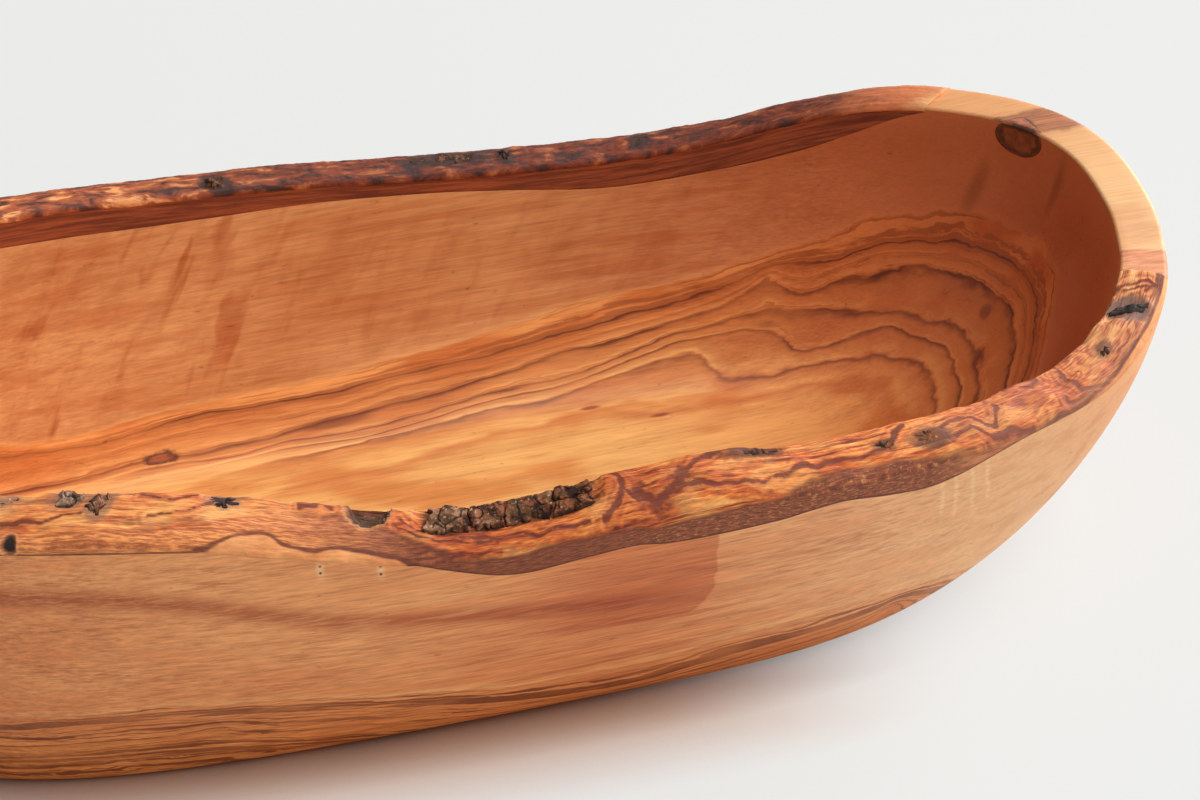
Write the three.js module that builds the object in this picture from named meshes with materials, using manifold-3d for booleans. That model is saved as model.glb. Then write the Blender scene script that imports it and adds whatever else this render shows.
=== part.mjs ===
// Live edge wooden bowl: a long boat shape carved from half an olive log, bark side up.
// Millimetres, +Z up. The origin is on the table, below the middle of the bowl's length and width.
import * as THREE from 'three';
import { mergeVertices } from 'three/addons/utils/BufferGeometryUtils.js';
import Module from 'manifold-3d';

const wasm = await Module();
wasm.setup();
const { degToRad, lerp, smoothstep } = THREE.MathUtils;

// Rim seen from above, measured from the widest station
const RIM_RIGHT = 158;
const RIM_LEFT = 186;
const RIM_HALF_WIDTH = 68;
const RIM_SQUARENESS = 2.73;

// Wall thickness at the rim
const END_WALL = 11.5;
const FRONT_WALL = 9;
const BACK_WALL = 8;

// Rim height: its mean, how far it swings, and how the log's skin leans across the wall
const RIM_HEIGHT = 80;
const RIM_SWING = 10;
const FRONT_DROP = 7;
const BACK_LIFT = 1.5;
const FRONT_DROP_POWER = 1.3;

// Flat base, and the round of the outside wall that rises from it
const BASE_RIGHT = 93;
const BASE_LEFT = 154;
const BASE_HALF_WIDTH = 50;
const BASE_SETBACK = 3;
const BASE_SQUARENESS = 3.8;
const OUTER_ROUND = 1.7;

// Carved inside
const FLOOR_THICKNESS = 10;
const FLOOR_DISH = 2;
const FLOOR_INSET = 12;
const INNER_ROUND = 1.8;

// Live edge: the dark outer layer of the log that is left on both long sides
const LAYER_DEPTH = 8;
const LAYER_END_SHARE = 0.25;
const LAYER_THIN_SHARE = 0.35;
const LAYER_CROWN = 1;

// Bark thickness
const PLATE_THICKNESS = 4;
const CRUMB_THICKNESS = 2.5;
const FLAKE_THICKNESS = 2;
const SPOT_THICKNESS = 1;
const BARK_CROWN = 0.7;

// Hollows in the live edge, under the bark
const PLATE_HOLLOW = 3.5;
const NOTCH_HOLLOW = 4.5;
const POCKET_HOLLOW = 1;

// Knot of a side branch in the right end's wall
const KNOT_RADIUS = 5;
const KNOT_TAPER = 1;
const KNOT_BELOW_RIM = 3.5;
const KNOT_ANGLE = 28;

// The knot's plug is this many wall thicknesses long, so that it passes right through the slanting wall
const KNOT_WALLS = 4;

// Clearance between pieces that grew together and are made as separate solids
const GAP = 0.3;

// Fineness of the skins
const STATION_STEP = 5;
const WALL_RINGS = 7;
const RING_CROWDING = 1.6;
const FLOOR_RING = 0.5;
const KNOT_SIDES = 20;
const SAME_ANGLE = 1e-6;

const WIDEST_X = (RIM_LEFT - RIM_RIGHT) / 2;
const END_GAP_ANGLE = THREE.MathUtils.radToDeg(GAP / RIM_HALF_WIDTH);

// Rise of the rim's inner edge, as a share of its swing, by the angle round the bowl in degrees.
// Angle 0 is the right end, 90 the back, -90 the front.
const RIM_RISE = [
  [-180, 0.9], [-150, 1.1], [-129, 1.16], [-122, 1.1], [-117, 0.92], [-109, 0.22],
  [-102.5, -0.37], [-97, -0.6], [-90, -0.48], [-82, -0.32], [-77, -0.35], [-72, -0.6],
  [-62, -0.8], [-50, -0.97], [-41, -0.97], [-34, -0.7], [-25, -0.35], [-13, -0.13],
  [-6, 0.12], [3, 0.22], [25, 0.26], [40, 0.2], [48, 0.13], [56, -0.24],
  [65, -0.78], [73, -0.98], [84, -0.88], [94, -0.63], [103, -0.28], [113, 0.04],
  [123, 0.47], [137, 0.75], [160, 0.85],
];

// Angles that each live edge runs between, and over which it thins out towards its ends
const FRONT_EDGE = { from: -145, to: -22, fadeFrom: 18, fadeTo: 14 };
const BACK_EDGE = { from: 43, to: 142, fadeFrom: 12, fadeTo: 18 };

// Stretch of the front where the layer's outside is thick, and where it has thinned on both sides
const FRONT_THICK = { from: -110, fullFrom: -96, fullTo: -58, to: -47 };

// Shares of the way across the live edge, from its inner to its outer side
const ACROSS = [0, 0.3, 0.34, 0.6, 0.8, 1];

// Hollows by angle and by how far across they reach, with the angle of their sloping sides
const HOLLOWS = [
  { from: -101.4, to: -88, reach: 0.6, depth: PLATE_HOLLOW, slope: 0.6 },
  { from: -107, to: -102.6, reach: 0.34, depth: NOTCH_HOLLOW, slope: 1 },
  { from: -33, to: -26.5, reach: 0.8, depth: POCKET_HOLLOW, slope: 0.8 },
];
const HOLLOW_FADE = 0.2;

// Bark that still clings to the live edge: name, angles, shares across, thickness
const FRONT_BARK = [
  ['left_bark_crumb_1', -130.2, -127.4, 0, 0.34, CRUMB_THICKNESS],
  ['left_bark_crumb_2', -125.3, -123, 0, 0.34, CRUMB_THICKNESS],
  ['left_bark_crumb_3', -122.8, -120.9, 0, 0.6, CRUMB_THICKNESS],
  ['front_bark_chip', -115.1, -113.1, 0, 0.3, SPOT_THICKNESS],
  ['notch_bark', -106.2, -104.2, 0, 0.34, FLAKE_THICKNESS],
  ['notch_bark_small', -104, -103.2, 0, 0.34, FLAKE_THICKNESS],
  ['front_bark_plate_1', -100.8, -97.8, 0, 0.6, PLATE_THICKNESS],
  ['front_bark_plate_2', -97.6, -95.3, 0, 0.6, PLATE_THICKNESS],
  ['front_bark_plate_3', -95.1, -91.9, 0, 0.6, PLATE_THICKNESS],
  ['front_bark_plate_4', -91.7, -88.6, 0, 0.3, PLATE_THICKNESS],
  ['front_bark_plate_5', -91.7, -88.6, 0.34, 0.6, PLATE_THICKNESS],
  ['front_bark_sliver', -77.1, -72.1, 0, 0.3, SPOT_THICKNESS],
  ['bark_spot_1', -64.5, -62.8, 0.34, 0.6, SPOT_THICKNESS],
  ['bark_spot_2', -61.4, -57.9, 0.34, 0.8, SPOT_THICKNESS],
  ['bark_spot_3', -38.7, -36.5, 0.3, 0.6, SPOT_THICKNESS],
  ['bark_pocket', -32.2, -27.3, 0, 0.8, FLAKE_THICKNESS],
];
const BACK_BARK = [
  ['back_bark_flake_1', 71, 73, 0.3, 0.8, FLAKE_THICKNESS],
  ['back_bark_flake_2', 84, 85.6, 0.3, 0.8, FLAKE_THICKNESS],
  ['back_bark_flake_3', 86.5, 93.5, 0.3, 0.8, FLAKE_THICKNESS],
  ['back_bark_flake_4', 107.5, 109.5, 0, 0.6, FLAKE_THICKNESS],
];

// Finishes
const CARVED_WOOD = { color: 0xb9743f, roughness: 0.5, metalness: 0 };
const LIVE_EDGE = { color: 0x8a4a2a, roughness: 0.7, metalness: 0 };
const BARK = { color: 0x3d332b, roughness: 0.95, metalness: 0 };
const KNOT = { color: 0x5a301b, roughness: 0.6, metalness: 0 };

// Every angle at which a section is taken, shared by all pieces so that their facets lie parallel
function sectionAngles() {
  const angles = [];
  for (let angle = -180; angle < 180; angle += STATION_STEP) {
    angles.push(angle);
  }
  for (const edge of [FRONT_EDGE, BACK_EDGE]) {
    angles.push(edge.from - END_GAP_ANGLE, edge.from, edge.to, edge.to + END_GAP_ANGLE);
  }
  for (const hollow of HOLLOWS) {
    angles.push(hollow.from, hollow.from + hollow.slope, hollow.to - hollow.slope, hollow.to);
  }
  for (const [, from, to] of [...FRONT_BARK, ...BACK_BARK]) {
    angles.push(from, (from + to) / 2, to);
  }
  angles.sort((a, b) => a - b);
  return angles.filter((angle, i) => i === 0 || angle - angles[i - 1] > SAME_ANGLE);
}
const SECTIONS = sectionAngles();
const sectionsBetween = (from, to) => SECTIONS.filter((angle) => angle >= from && angle <= to);

// Rim rise as a smooth closed curve through its stations
function closedCurve(stations) {
  const last = stations.at(-1);
  const [first, second] = stations;
  const row = [
    [last[0] - 360, last[1]], ...stations, [first[0] + 360, first[1]], [second[0] + 360, second[1]],
  ];
  const curve = new THREE.CubicInterpolant(row.map((s) => s[0]), row.map((s) => s[1]), 1);
  return (angle) => curve.evaluate(angle)[0];
}
const rimRise = closedCurve(RIM_RISE);

// Point of a rounded oval with unequal halves
function oval(angle, right, left, front, back, squareness) {
  const c = Math.cos(degToRad(angle));
  const s = Math.sin(degToRad(angle));
  const swell = (Math.abs(c) ** squareness + Math.abs(s) ** squareness) ** (-1 / squareness);
  const x = (c > 0 ? right : left) * c * swell;
  const y = (s > 0 ? back : front) * s * swell;
  return new THREE.Vector2(WIDEST_X + x, y);
}

function outerRim(angle) {
  return oval(angle, RIM_RIGHT, RIM_LEFT, RIM_HALF_WIDTH, RIM_HALF_WIDTH, RIM_SQUARENESS);
}

function innerRim(angle) {
  const front = RIM_HALF_WIDTH - FRONT_WALL;
  const back = RIM_HALF_WIDTH - BACK_WALL;
  return oval(angle, RIM_RIGHT - END_WALL, RIM_LEFT - END_WALL, front, back, RIM_SQUARENESS);
}

// Foot of a wall: the base's outline, drawn in by an inset
function foot(angle, inset) {
  const half = BASE_HALF_WIDTH - inset;
  const point = oval(angle, BASE_RIGHT - inset, BASE_LEFT - inset, half, half, BASE_SQUARENESS);
  point.y -= BASE_SETBACK;
  return point;
}

function innerEdgeHeight(angle) {
  return RIM_HEIGHT + RIM_SWING * rimRise(angle);
}

// The log's skin falls outwards at the front and rises slightly outwards at the back
function outerEdgeHeight(angle) {
  const s = Math.sin(degToRad(angle));
  const drop = FRONT_DROP * Math.max(-s, 0) ** FRONT_DROP_POWER;
  const lift = BACK_LIFT * Math.max(s, 0) ** 2;
  return innerEdgeHeight(angle) - drop + lift;
}

// Point at a height on a wall that leaves its foot level and stands upright at the rim
function wallPoint(low, high, lowZ, highZ, z, roundness) {
  const share = (z - lowZ) / (highZ - lowZ);
  const out = (1 - Math.max(1 - share, 0) ** roundness) ** (1 / roundness);
  return new THREE.Vector3(lerp(low.x, high.x, out), lerp(low.y, high.y, out), z);
}

function outerWall(angle, z) {
  return wallPoint(foot(angle, 0), outerRim(angle), 0, outerEdgeHeight(angle), z, OUTER_ROUND);
}

function innerWall(angle, z) {
  const low = foot(angle, FLOOR_INSET);
  return wallPoint(low, innerRim(angle), FLOOR_THICKNESS, innerEdgeHeight(angle), z, INNER_ROUND);
}

// Depth of the live edge's layer below the log's skin, at the inner and the outer side of the wall
function layerDepth(edge, angle) {
  const fadeIn = smoothstep(angle, edge.from, edge.from + edge.fadeFrom);
  const fadeOut = smoothstep(edge.to - angle, 0, edge.fadeTo);
  const inner = LAYER_DEPTH * lerp(LAYER_END_SHARE, 1, Math.min(fadeIn, fadeOut));
  if (edge === BACK_EDGE) return { inner, outer: inner };
  const grow = smoothstep(angle, FRONT_THICK.from, FRONT_THICK.fullFrom);
  const shrink = 1 - smoothstep(angle, FRONT_THICK.fullTo, FRONT_THICK.to);
  return { inner, outer: inner * lerp(LAYER_THIN_SHARE, 1, Math.min(grow, shrink)) };
}

// How far the hollows lower the log's skin at a place
function hollowDepth(angle, across) {
  let depth = 0;
  for (const hollow of HOLLOWS) {
    const rise = smoothstep(angle, hollow.from, hollow.from + hollow.slope);
    const fall = smoothstep(hollow.to - angle, 0, hollow.slope);
    const side = 1 - smoothstep(across, hollow.reach, hollow.reach + HOLLOW_FADE);
    depth += hollow.depth * Math.min(rise, fall) * side;
  }
  return depth;
}

// Point on, or a little above, the log's skin
function skinPoint(angle, across, lift = 0) {
  const plan = innerRim(angle).lerp(outerRim(angle), across);
  const level = lerp(innerEdgeHeight(angle), outerEdgeHeight(angle), across);
  const crown = LAYER_CROWN * 4 * across * (1 - across);
  return new THREE.Vector3(plan.x, plan.y, level + crown - hollowDepth(angle, across) + lift);
}

// Closed skin of rings with equal numbers of points, drawn to a pole at each end
function closeRings(rings, firstPole, lastPole) {
  const count = rings[0].length;
  const points = [...rings.flat(), firstPole, lastPole];
  const first = points.length - 2;
  const last = points.length - 1;
  const index = [];
  for (let i = 0; i < count; i += 1) {
    const next = (i + 1) % count;
    const top = (rings.length - 1) * count;
    index.push(first, next, i, last, top + i, top + next);
    for (let r = 0; r + 1 < rings.length; r += 1) {
      const a = r * count;
      const b = a + count;
      index.push(a + i, a + next, b + i, a + next, b + next, b + i);
    }
  }
  return faceOutwards(points, index);
}

// Geometry whose triangles all point out of the solid
function faceOutwards(points, index) {
  let volume = 0;
  for (let t = 0; t < index.length; t += 3) {
    const [a, b, c] = [points[index[t]], points[index[t + 1]], points[index[t + 2]]];
    volume += a.dot(new THREE.Vector3().crossVectors(b, c));
  }
  const facing = volume > 0 ? index : index.toReversed();
  const geometry = new THREE.BufferGeometry().setFromPoints(points);
  return geometry.setIndex(facing);
}

function middle(ring) {
  const sum = new THREE.Vector3();
  for (const point of ring) {
    sum.add(point);
  }
  return sum.divideScalar(ring.length);
}

// Closed skin of rings, with the two end rings filled in
function closeStrip(rings) {
  return closeRings(rings, middle(rings[0]), middle(rings.at(-1)));
}

// The live edge at an angle, if there is one
function edgeAt(angle) {
  return [FRONT_EDGE, BACK_EDGE].find((edge) => angle >= edge.from && angle <= edge.to);
}

// Height of the carved wood at the rim: sawn flat at the ends, seats for the live edges between them
function carvedTop(angle) {
  const edge = edgeAt(angle);
  const inner = innerEdgeHeight(angle);
  const outer = outerEdgeHeight(angle);
  if (!edge) return { inner, outer };
  const depth = layerDepth(edge, angle);
  return { inner: inner - depth.inner - GAP, outer: outer - depth.outer - GAP };
}

// Carved body: base, outside wall, rim, inside wall and dished floor as one skin
function bowlBody() {
  const rings = [SECTIONS.map((angle) => outerWall(angle, 0))];
  const ringAt = (make) => rings.push(SECTIONS.map(make));
  for (let i = 1; i <= WALL_RINGS; i += 1) {
    const share = (i / WALL_RINGS) ** RING_CROWDING;
    ringAt((angle) => outerWall(angle, carvedTop(angle).outer * share));
  }
  for (let i = WALL_RINGS; i >= 0; i -= 1) {
    const share = (i / WALL_RINGS) ** RING_CROWDING;
    ringAt((angle) => innerWall(angle, lerp(FLOOR_THICKNESS, carvedTop(angle).inner, share)));
  }
  const centre = new THREE.Vector3(WIDEST_X, -BASE_SETBACK, 0);
  const floorCentre = centre.clone().setZ(FLOOR_THICKNESS - FLOOR_DISH);
  const dishedHeight = FLOOR_THICKNESS - FLOOR_DISH * (1 - FLOOR_RING ** 2);
  const floorEdge = rings.at(-1);
  rings.push(floorEdge.map((point) => floorCentre.clone().lerp(point, FLOOR_RING).setZ(dishedHeight)));
  return closeRings(rings, centre, floorCentre);
}

// Live edge strip: the log's skin on top, the wall's faces at the sides and its seat below
function liveEdge(edge) {
  const rings = sectionsBetween(edge.from, edge.to).map((angle) => {
    const depth = layerDepth(edge, angle);
    const innerFoot = innerEdgeHeight(angle) - depth.inner;
    const outerFoot = outerEdgeHeight(angle) - depth.outer;
    const top = ACROSS.map((across) => skinPoint(angle, across));
    return [...top, outerWall(angle, outerFoot), innerWall(angle, innerFoot)];
  });
  return closeStrip(rings);
}

// Piece of bark on the log's skin, thinner round its sides than in its middle
function barkPiece(from, to, start, end, thickness) {
  const shares = ACROSS.filter((across) => across >= start && across <= end);
  const rings = sectionsBetween(from, to).map((angle) => {
    const along = 4 * ((angle - from) * (to - angle)) / (to - from) ** 2;
    const crown = lerp(BARK_CROWN, 1, along);
    const below = shares.map((across) => skinPoint(angle, across, GAP));
    const above = shares.map((across) => skinPoint(angle, across, GAP + thickness * crown));
    return [...below, ...above.reverse()];
  });
  return closeStrip(rings);
}

// Tapered plug along +X through the right end's wall, with its middle below the rim
function knotPlug(clearance) {
  const start = innerRim(KNOT_ANGLE);
  const height = innerEdgeHeight(KNOT_ANGLE) - KNOT_BELOW_RIM;
  const length = KNOT_WALLS * END_WALL;
  const small = KNOT_RADIUS + clearance;
  const plug = new THREE.CylinderGeometry(small + KNOT_TAPER, small, length, KNOT_SIDES);
  plug.rotateZ(-Math.PI / 2);
  plug.translate(start.x + END_WALL / 2, start.y, height);
  return plug;
}

// Solid for joining and cutting, from a closed geometry
function toSolid(geometry) {
  geometry.deleteAttribute('normal');
  geometry.deleteAttribute('uv');
  const merged = mergeVertices(geometry);
  const mesh = new wasm.Mesh({
    numProp: 3,
    vertProperties: new Float32Array(merged.attributes.position.array),
    triVerts: new Uint32Array(merged.index.array),
  });
  return new wasm.Manifold(mesh);
}

function toGeometry(solid) {
  const mesh = solid.getMesh();
  const geometry = new THREE.BufferGeometry();
  geometry.setAttribute('position', new THREE.BufferAttribute(mesh.vertProperties, 3));
  geometry.setIndex(new THREE.BufferAttribute(mesh.triVerts, 1));
  return geometry;
}

const bowl = new THREE.Group();
bowl.name = 'live_edge_bowl';

function addPiece(name, geometry, finish) {
  geometry.computeVertexNormals();
  const mesh = new THREE.Mesh(geometry, new THREE.MeshStandardMaterial(finish));
  mesh.name = name;
  bowl.add(mesh);
}

const carved = toSolid(bowlBody());
addPiece('bowl_body', toGeometry(carved.subtract(toSolid(knotPlug(GAP)))), CARVED_WOOD);
addPiece('end_knot', toGeometry(carved.intersect(toSolid(knotPlug(0)))), KNOT);
addPiece('front_live_edge', liveEdge(FRONT_EDGE), LIVE_EDGE);
addPiece('back_live_edge', liveEdge(BACK_EDGE), LIVE_EDGE);
for (const [name, from, to, start, end, thickness] of [...FRONT_BARK, ...BACK_BARK]) {
  addPiece(name, barkPiece(from, to, start, end, thickness), BARK);
}

export default bowl;
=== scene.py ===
import bpy
import numpy as np
from mathutils import Matrix, Vector


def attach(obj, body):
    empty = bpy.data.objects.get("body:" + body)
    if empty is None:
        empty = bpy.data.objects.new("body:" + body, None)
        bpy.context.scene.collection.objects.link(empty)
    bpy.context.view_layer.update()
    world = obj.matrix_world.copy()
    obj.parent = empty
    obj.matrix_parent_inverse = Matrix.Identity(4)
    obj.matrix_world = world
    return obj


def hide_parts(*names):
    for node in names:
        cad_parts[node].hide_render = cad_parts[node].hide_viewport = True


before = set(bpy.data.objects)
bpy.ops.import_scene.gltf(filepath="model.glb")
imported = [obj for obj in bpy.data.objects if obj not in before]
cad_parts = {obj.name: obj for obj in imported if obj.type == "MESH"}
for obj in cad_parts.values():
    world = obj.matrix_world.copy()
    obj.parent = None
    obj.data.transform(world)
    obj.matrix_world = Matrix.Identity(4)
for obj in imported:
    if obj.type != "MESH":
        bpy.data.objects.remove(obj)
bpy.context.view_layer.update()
mm = 0.001
print("frame loaded:", len(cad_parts), "nodes")

# Shape of the bowl, as the frame has it: millimetres, and degrees round the bowl from its right end
bowl = {
    "rimRight": 158, "rimLeft": 186, "rimHalf": 68, "rimPower": 2.73,
    "endWall": 11.5, "frontWall": 9, "backWall": 8,
    "rimHeight": 80, "rimSwing": 10, "frontDrop": 7, "dropPower": 1.3, "backLift": 1.5,
    "baseRight": 93, "baseLeft": 154, "baseHalf": 50, "baseBack": 3, "basePower": 3.8, "outerRound": 1.7,
    "floorUp": 10, "floorDish": 2, "floorInset": 12, "innerRound": 1.8,
    "rise": [
        (-180, 0.9), (-150, 1.1), (-129, 1.16), (-122, 1.1), (-117, 0.92), (-109, 0.22),
        (-102.5, -0.37), (-97, -0.6), (-90, -0.48), (-82, -0.32), (-77, -0.35), (-72, -0.6),
        (-62, -0.8), (-50, -0.97), (-41, -0.97), (-34, -0.7), (-25, -0.35), (-13, -0.13),
        (-6, 0.12), (3, 0.22), (25, 0.26), (40, 0.2), (48, 0.13), (56, -0.24),
        (65, -0.78), (73, -0.98), (84, -0.88), (94, -0.63), (103, -0.28), (113, 0.04),
        (123, 0.47), (137, 0.75), (160, 0.85),
    ],
}
widestX = (bowl["rimLeft"] - bowl["rimRight"]) / 2


# Smooth curve through stations: cubic pieces whose slope at a station is the mean of the slopes beside it
def smoothThrough(stations, at):
    x, y = np.array(stations, float).T
    slope = np.diff(y) / np.diff(x)
    tangent = np.concatenate([slope[:1], (slope[:-1] + slope[1:]) / 2, slope[-1:]])
    i = np.clip(np.searchsorted(x, at) - 1, 0, len(x) - 2)
    span = x[i + 1] - x[i]
    u = np.clip((at - x[i]) / span, 0, 1)
    ends = y[i] * (1 + 2 * u) * (1 - u) ** 2 + y[i + 1] * u ** 2 * (3 - 2 * u)
    return ends + span * (tangent[i] * u * (1 - u) ** 2 - tangent[i + 1] * u ** 2 * (1 - u))


# Ease from 0 at the low mark to 1 at the high mark
def ease(value, low, high):
    u = np.clip((value - low) / (high - low), 0, 1)
    return u * u * (3 - 2 * u)


# Gradient noise: the slopes at a cell's eight corners, blended by the place inside the cell
def noise(points, seed):
    repeat = 256
    draw = np.random.default_rng(seed)
    order = draw.permutation(repeat)
    slopes = draw.normal(size=(repeat, 3))
    cell = np.floor(points).astype(int)
    place = points - cell
    blend = place ** 3 * (place * (place * 6 - 15) + 10)
    total = np.zeros(points.shape[:-1])
    for corner in np.ndindex(2, 2, 2):
        c = np.array(corner)
        i, j, k = np.moveaxis((cell + c) % repeat, -1, 0)
        slope = slopes[order[(order[(order[i] + j) % repeat] + k) % repeat]]
        weight = np.prod(np.where(c == 1, blend, 1 - blend), -1)
        total += weight * np.sum(slope * (place - c), -1)
    return total


# Noise in octaves, each half as large and half as strong as the one before
def roughness(points, sizes, octaves, seed):
    scaled = points / np.array(sizes, float)
    return sum(noise(scaled * 2 ** n, seed + n) / 2 ** n for n in range(octaves))


# Oval with unequal halves: a unit circle swollen until |cos|^power + |sin|^power is one
def oval(t, right, left, front, back, power):
    c, s = np.cos(np.radians(t)), np.sin(np.radians(t))
    swell = (np.abs(c) ** power + np.abs(s) ** power) ** (-1 / power)
    x = widestX + np.where(c > 0, right, left) * c * swell
    return np.stack([x, np.where(s > 0, back, front) * s * swell], -1)


# The rim's outer edge
def outerRim(t):
    return oval(t, bowl["rimRight"], bowl["rimLeft"], bowl["rimHalf"], bowl["rimHalf"], bowl["rimPower"])


# The rim's inner edge: the outer one drawn in by the wall's thickness on each side
def innerRim(t):
    right, left = bowl["rimRight"] - bowl["endWall"], bowl["rimLeft"] - bowl["endWall"]
    front, back = bowl["rimHalf"] - bowl["frontWall"], bowl["rimHalf"] - bowl["backWall"]
    return oval(t, right, left, front, back, bowl["rimPower"])


# Edge of the base, or of the floor where it is drawn in by an inset
def foot(t, inset):
    half = bowl["baseHalf"] - inset
    outline = oval(t, bowl["baseRight"] - inset, bowl["baseLeft"] - inset, half, half, bowl["basePower"])
    return outline - np.array([0, bowl["baseBack"]])


# Height of the rim's inner edge: a swing about the mean, by stations round the bowl
def innerHeight(t):
    rise = bowl["rise"]
    wrapped = [(rise[-1][0] - 360, rise[-1][1])] + rise + [(a + 360, b) for a, b in rise[:2]]
    return bowl["rimHeight"] + bowl["rimSwing"] * smoothThrough(wrapped, t)


# The log's skin falls outwards at the front and rises slightly outwards at the back
def outerHeight(t):
    s = np.sin(np.radians(t))
    drop = bowl["frontDrop"] * np.maximum(-s, 0) ** bowl["dropPower"]
    return innerHeight(t) - drop + bowl["backLift"] * np.maximum(s, 0) ** 2


# Wall that leaves its foot level and stands upright at the rim: out = (1 - (1 - share)^power)^(1 / power)
def wall(low, high, lowZ, highZ, z, power):
    share = np.clip((z - lowZ) / (highZ - lowZ), 0, 1)
    out = (1 - (1 - share) ** power) ** (1 / power)
    plan = low + (high - low) * out[..., None]
    return np.concatenate([plan, np.broadcast_to(z, share.shape)[..., None]], -1)


# Outer wall, from the edge of the base up to the rim
def outerWall(t, z):
    return wall(foot(t, 0), outerRim(t), 0, outerHeight(t), z, bowl["outerRound"])


# Inner wall, from the edge of the floor up to the rim
def innerWall(t, z):
    low = foot(t, bowl["floorInset"])
    return wall(low, innerRim(t), bowl["floorUp"], innerHeight(t), z, bowl["innerRound"])


# Angles along a stretch of the outer rim, and the length up to each of them in millimetres
def rimLengths(start, end, count):
    angles = np.linspace(start, end, count)
    steps = np.linalg.norm(np.diff(outerRim(angles), axis=0), axis=1)
    return angles, np.concatenate([[0], np.cumsum(steps)])


# Angles at equal steps of length along the outer rim
def evenAngles(start, end, count):
    angles, length = rimLengths(start, end, 4000)
    return np.interp(np.linspace(0, length[-1], count), length, angles)


# Length along the outer rim from the middle of the front, in millimetres
def arcLength(t):
    angles, length = rimLengths(-180, 180, 7201)
    return np.interp(t, angles, length) - np.interp(-90, angles, length)


# Places on the unrolled skin of the log: the length along it, the way across, and no height
def unrolled(along, over):
    return np.stack([along, over, np.zeros_like(along)], -1)


def addObject(name, data):
    added = bpy.data.objects.new(name, data)
    bpy.context.scene.collection.objects.link(added)
    return added


# Closed skin: rings of points joined row to row, with a pole at each end; faces are turned outwards
def closedSkin(name, rings, firstPole, lastPole, fields):
    rows, around = rings.shape[:2]
    points = np.concatenate([rings.reshape(-1, 3), [firstPole, lastPole]]) * mm
    here = np.arange(rows * around).reshape(rows, around)
    beside = np.roll(here, -1, axis=1)
    quads = np.stack([here[:-1], beside[:-1], beside[1:], here[1:]], -1).reshape(-1, 4)
    first = np.stack([np.full(around, rows * around), beside[0], here[0]], -1)
    last = np.stack([np.full(around, rows * around + 1), here[-1], beside[-1]], -1)
    a, b, c, d = (points[quads[:, i]] for i in range(4))
    volume = np.sum(a * np.cross(b, c)) + np.sum(a * np.cross(c, d))
    if volume < 0:
        quads, first, last = quads[:, ::-1], first[:, ::-1], last[:, ::-1]
    mesh = bpy.data.meshes.new(name)
    corners = np.concatenate([quads.ravel(), first.ravel(), last.ravel()])
    sizes = np.concatenate([np.full(len(quads), 4), np.full(len(first) + len(last), 3)])
    mesh.vertices.add(len(points))
    mesh.vertices.foreach_set("co", points.ravel())
    mesh.loops.add(len(corners))
    mesh.loops.foreach_set("vertex_index", corners)
    mesh.polygons.add(len(sizes))
    mesh.polygons.foreach_set("loop_start", np.concatenate([[0], np.cumsum(sizes)[:-1]]))
    mesh.polygons.foreach_set("use_smooth", np.ones(len(sizes), bool))
    mesh.update(calc_edges=True)
    for field, values in fields.items():
        values = np.broadcast_to(values, (rows, around))
        flat = np.concatenate([values.ravel(), [values[0].mean(), values[-1].mean()]])
        mesh.attributes.new(field, "FLOAT", "POINT").data.foreach_set("value", flat.astype(np.float32))
    print("made", name, len(quads) * 2 + len(first) + len(last), "triangles")
    return addObject(name, mesh)


# Hands a finished piece over to the frame
def settle(piece, material, slot, *nodes):
    piece.data.materials.append(material)
    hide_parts(*nodes)
    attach(piece, "root")


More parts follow.
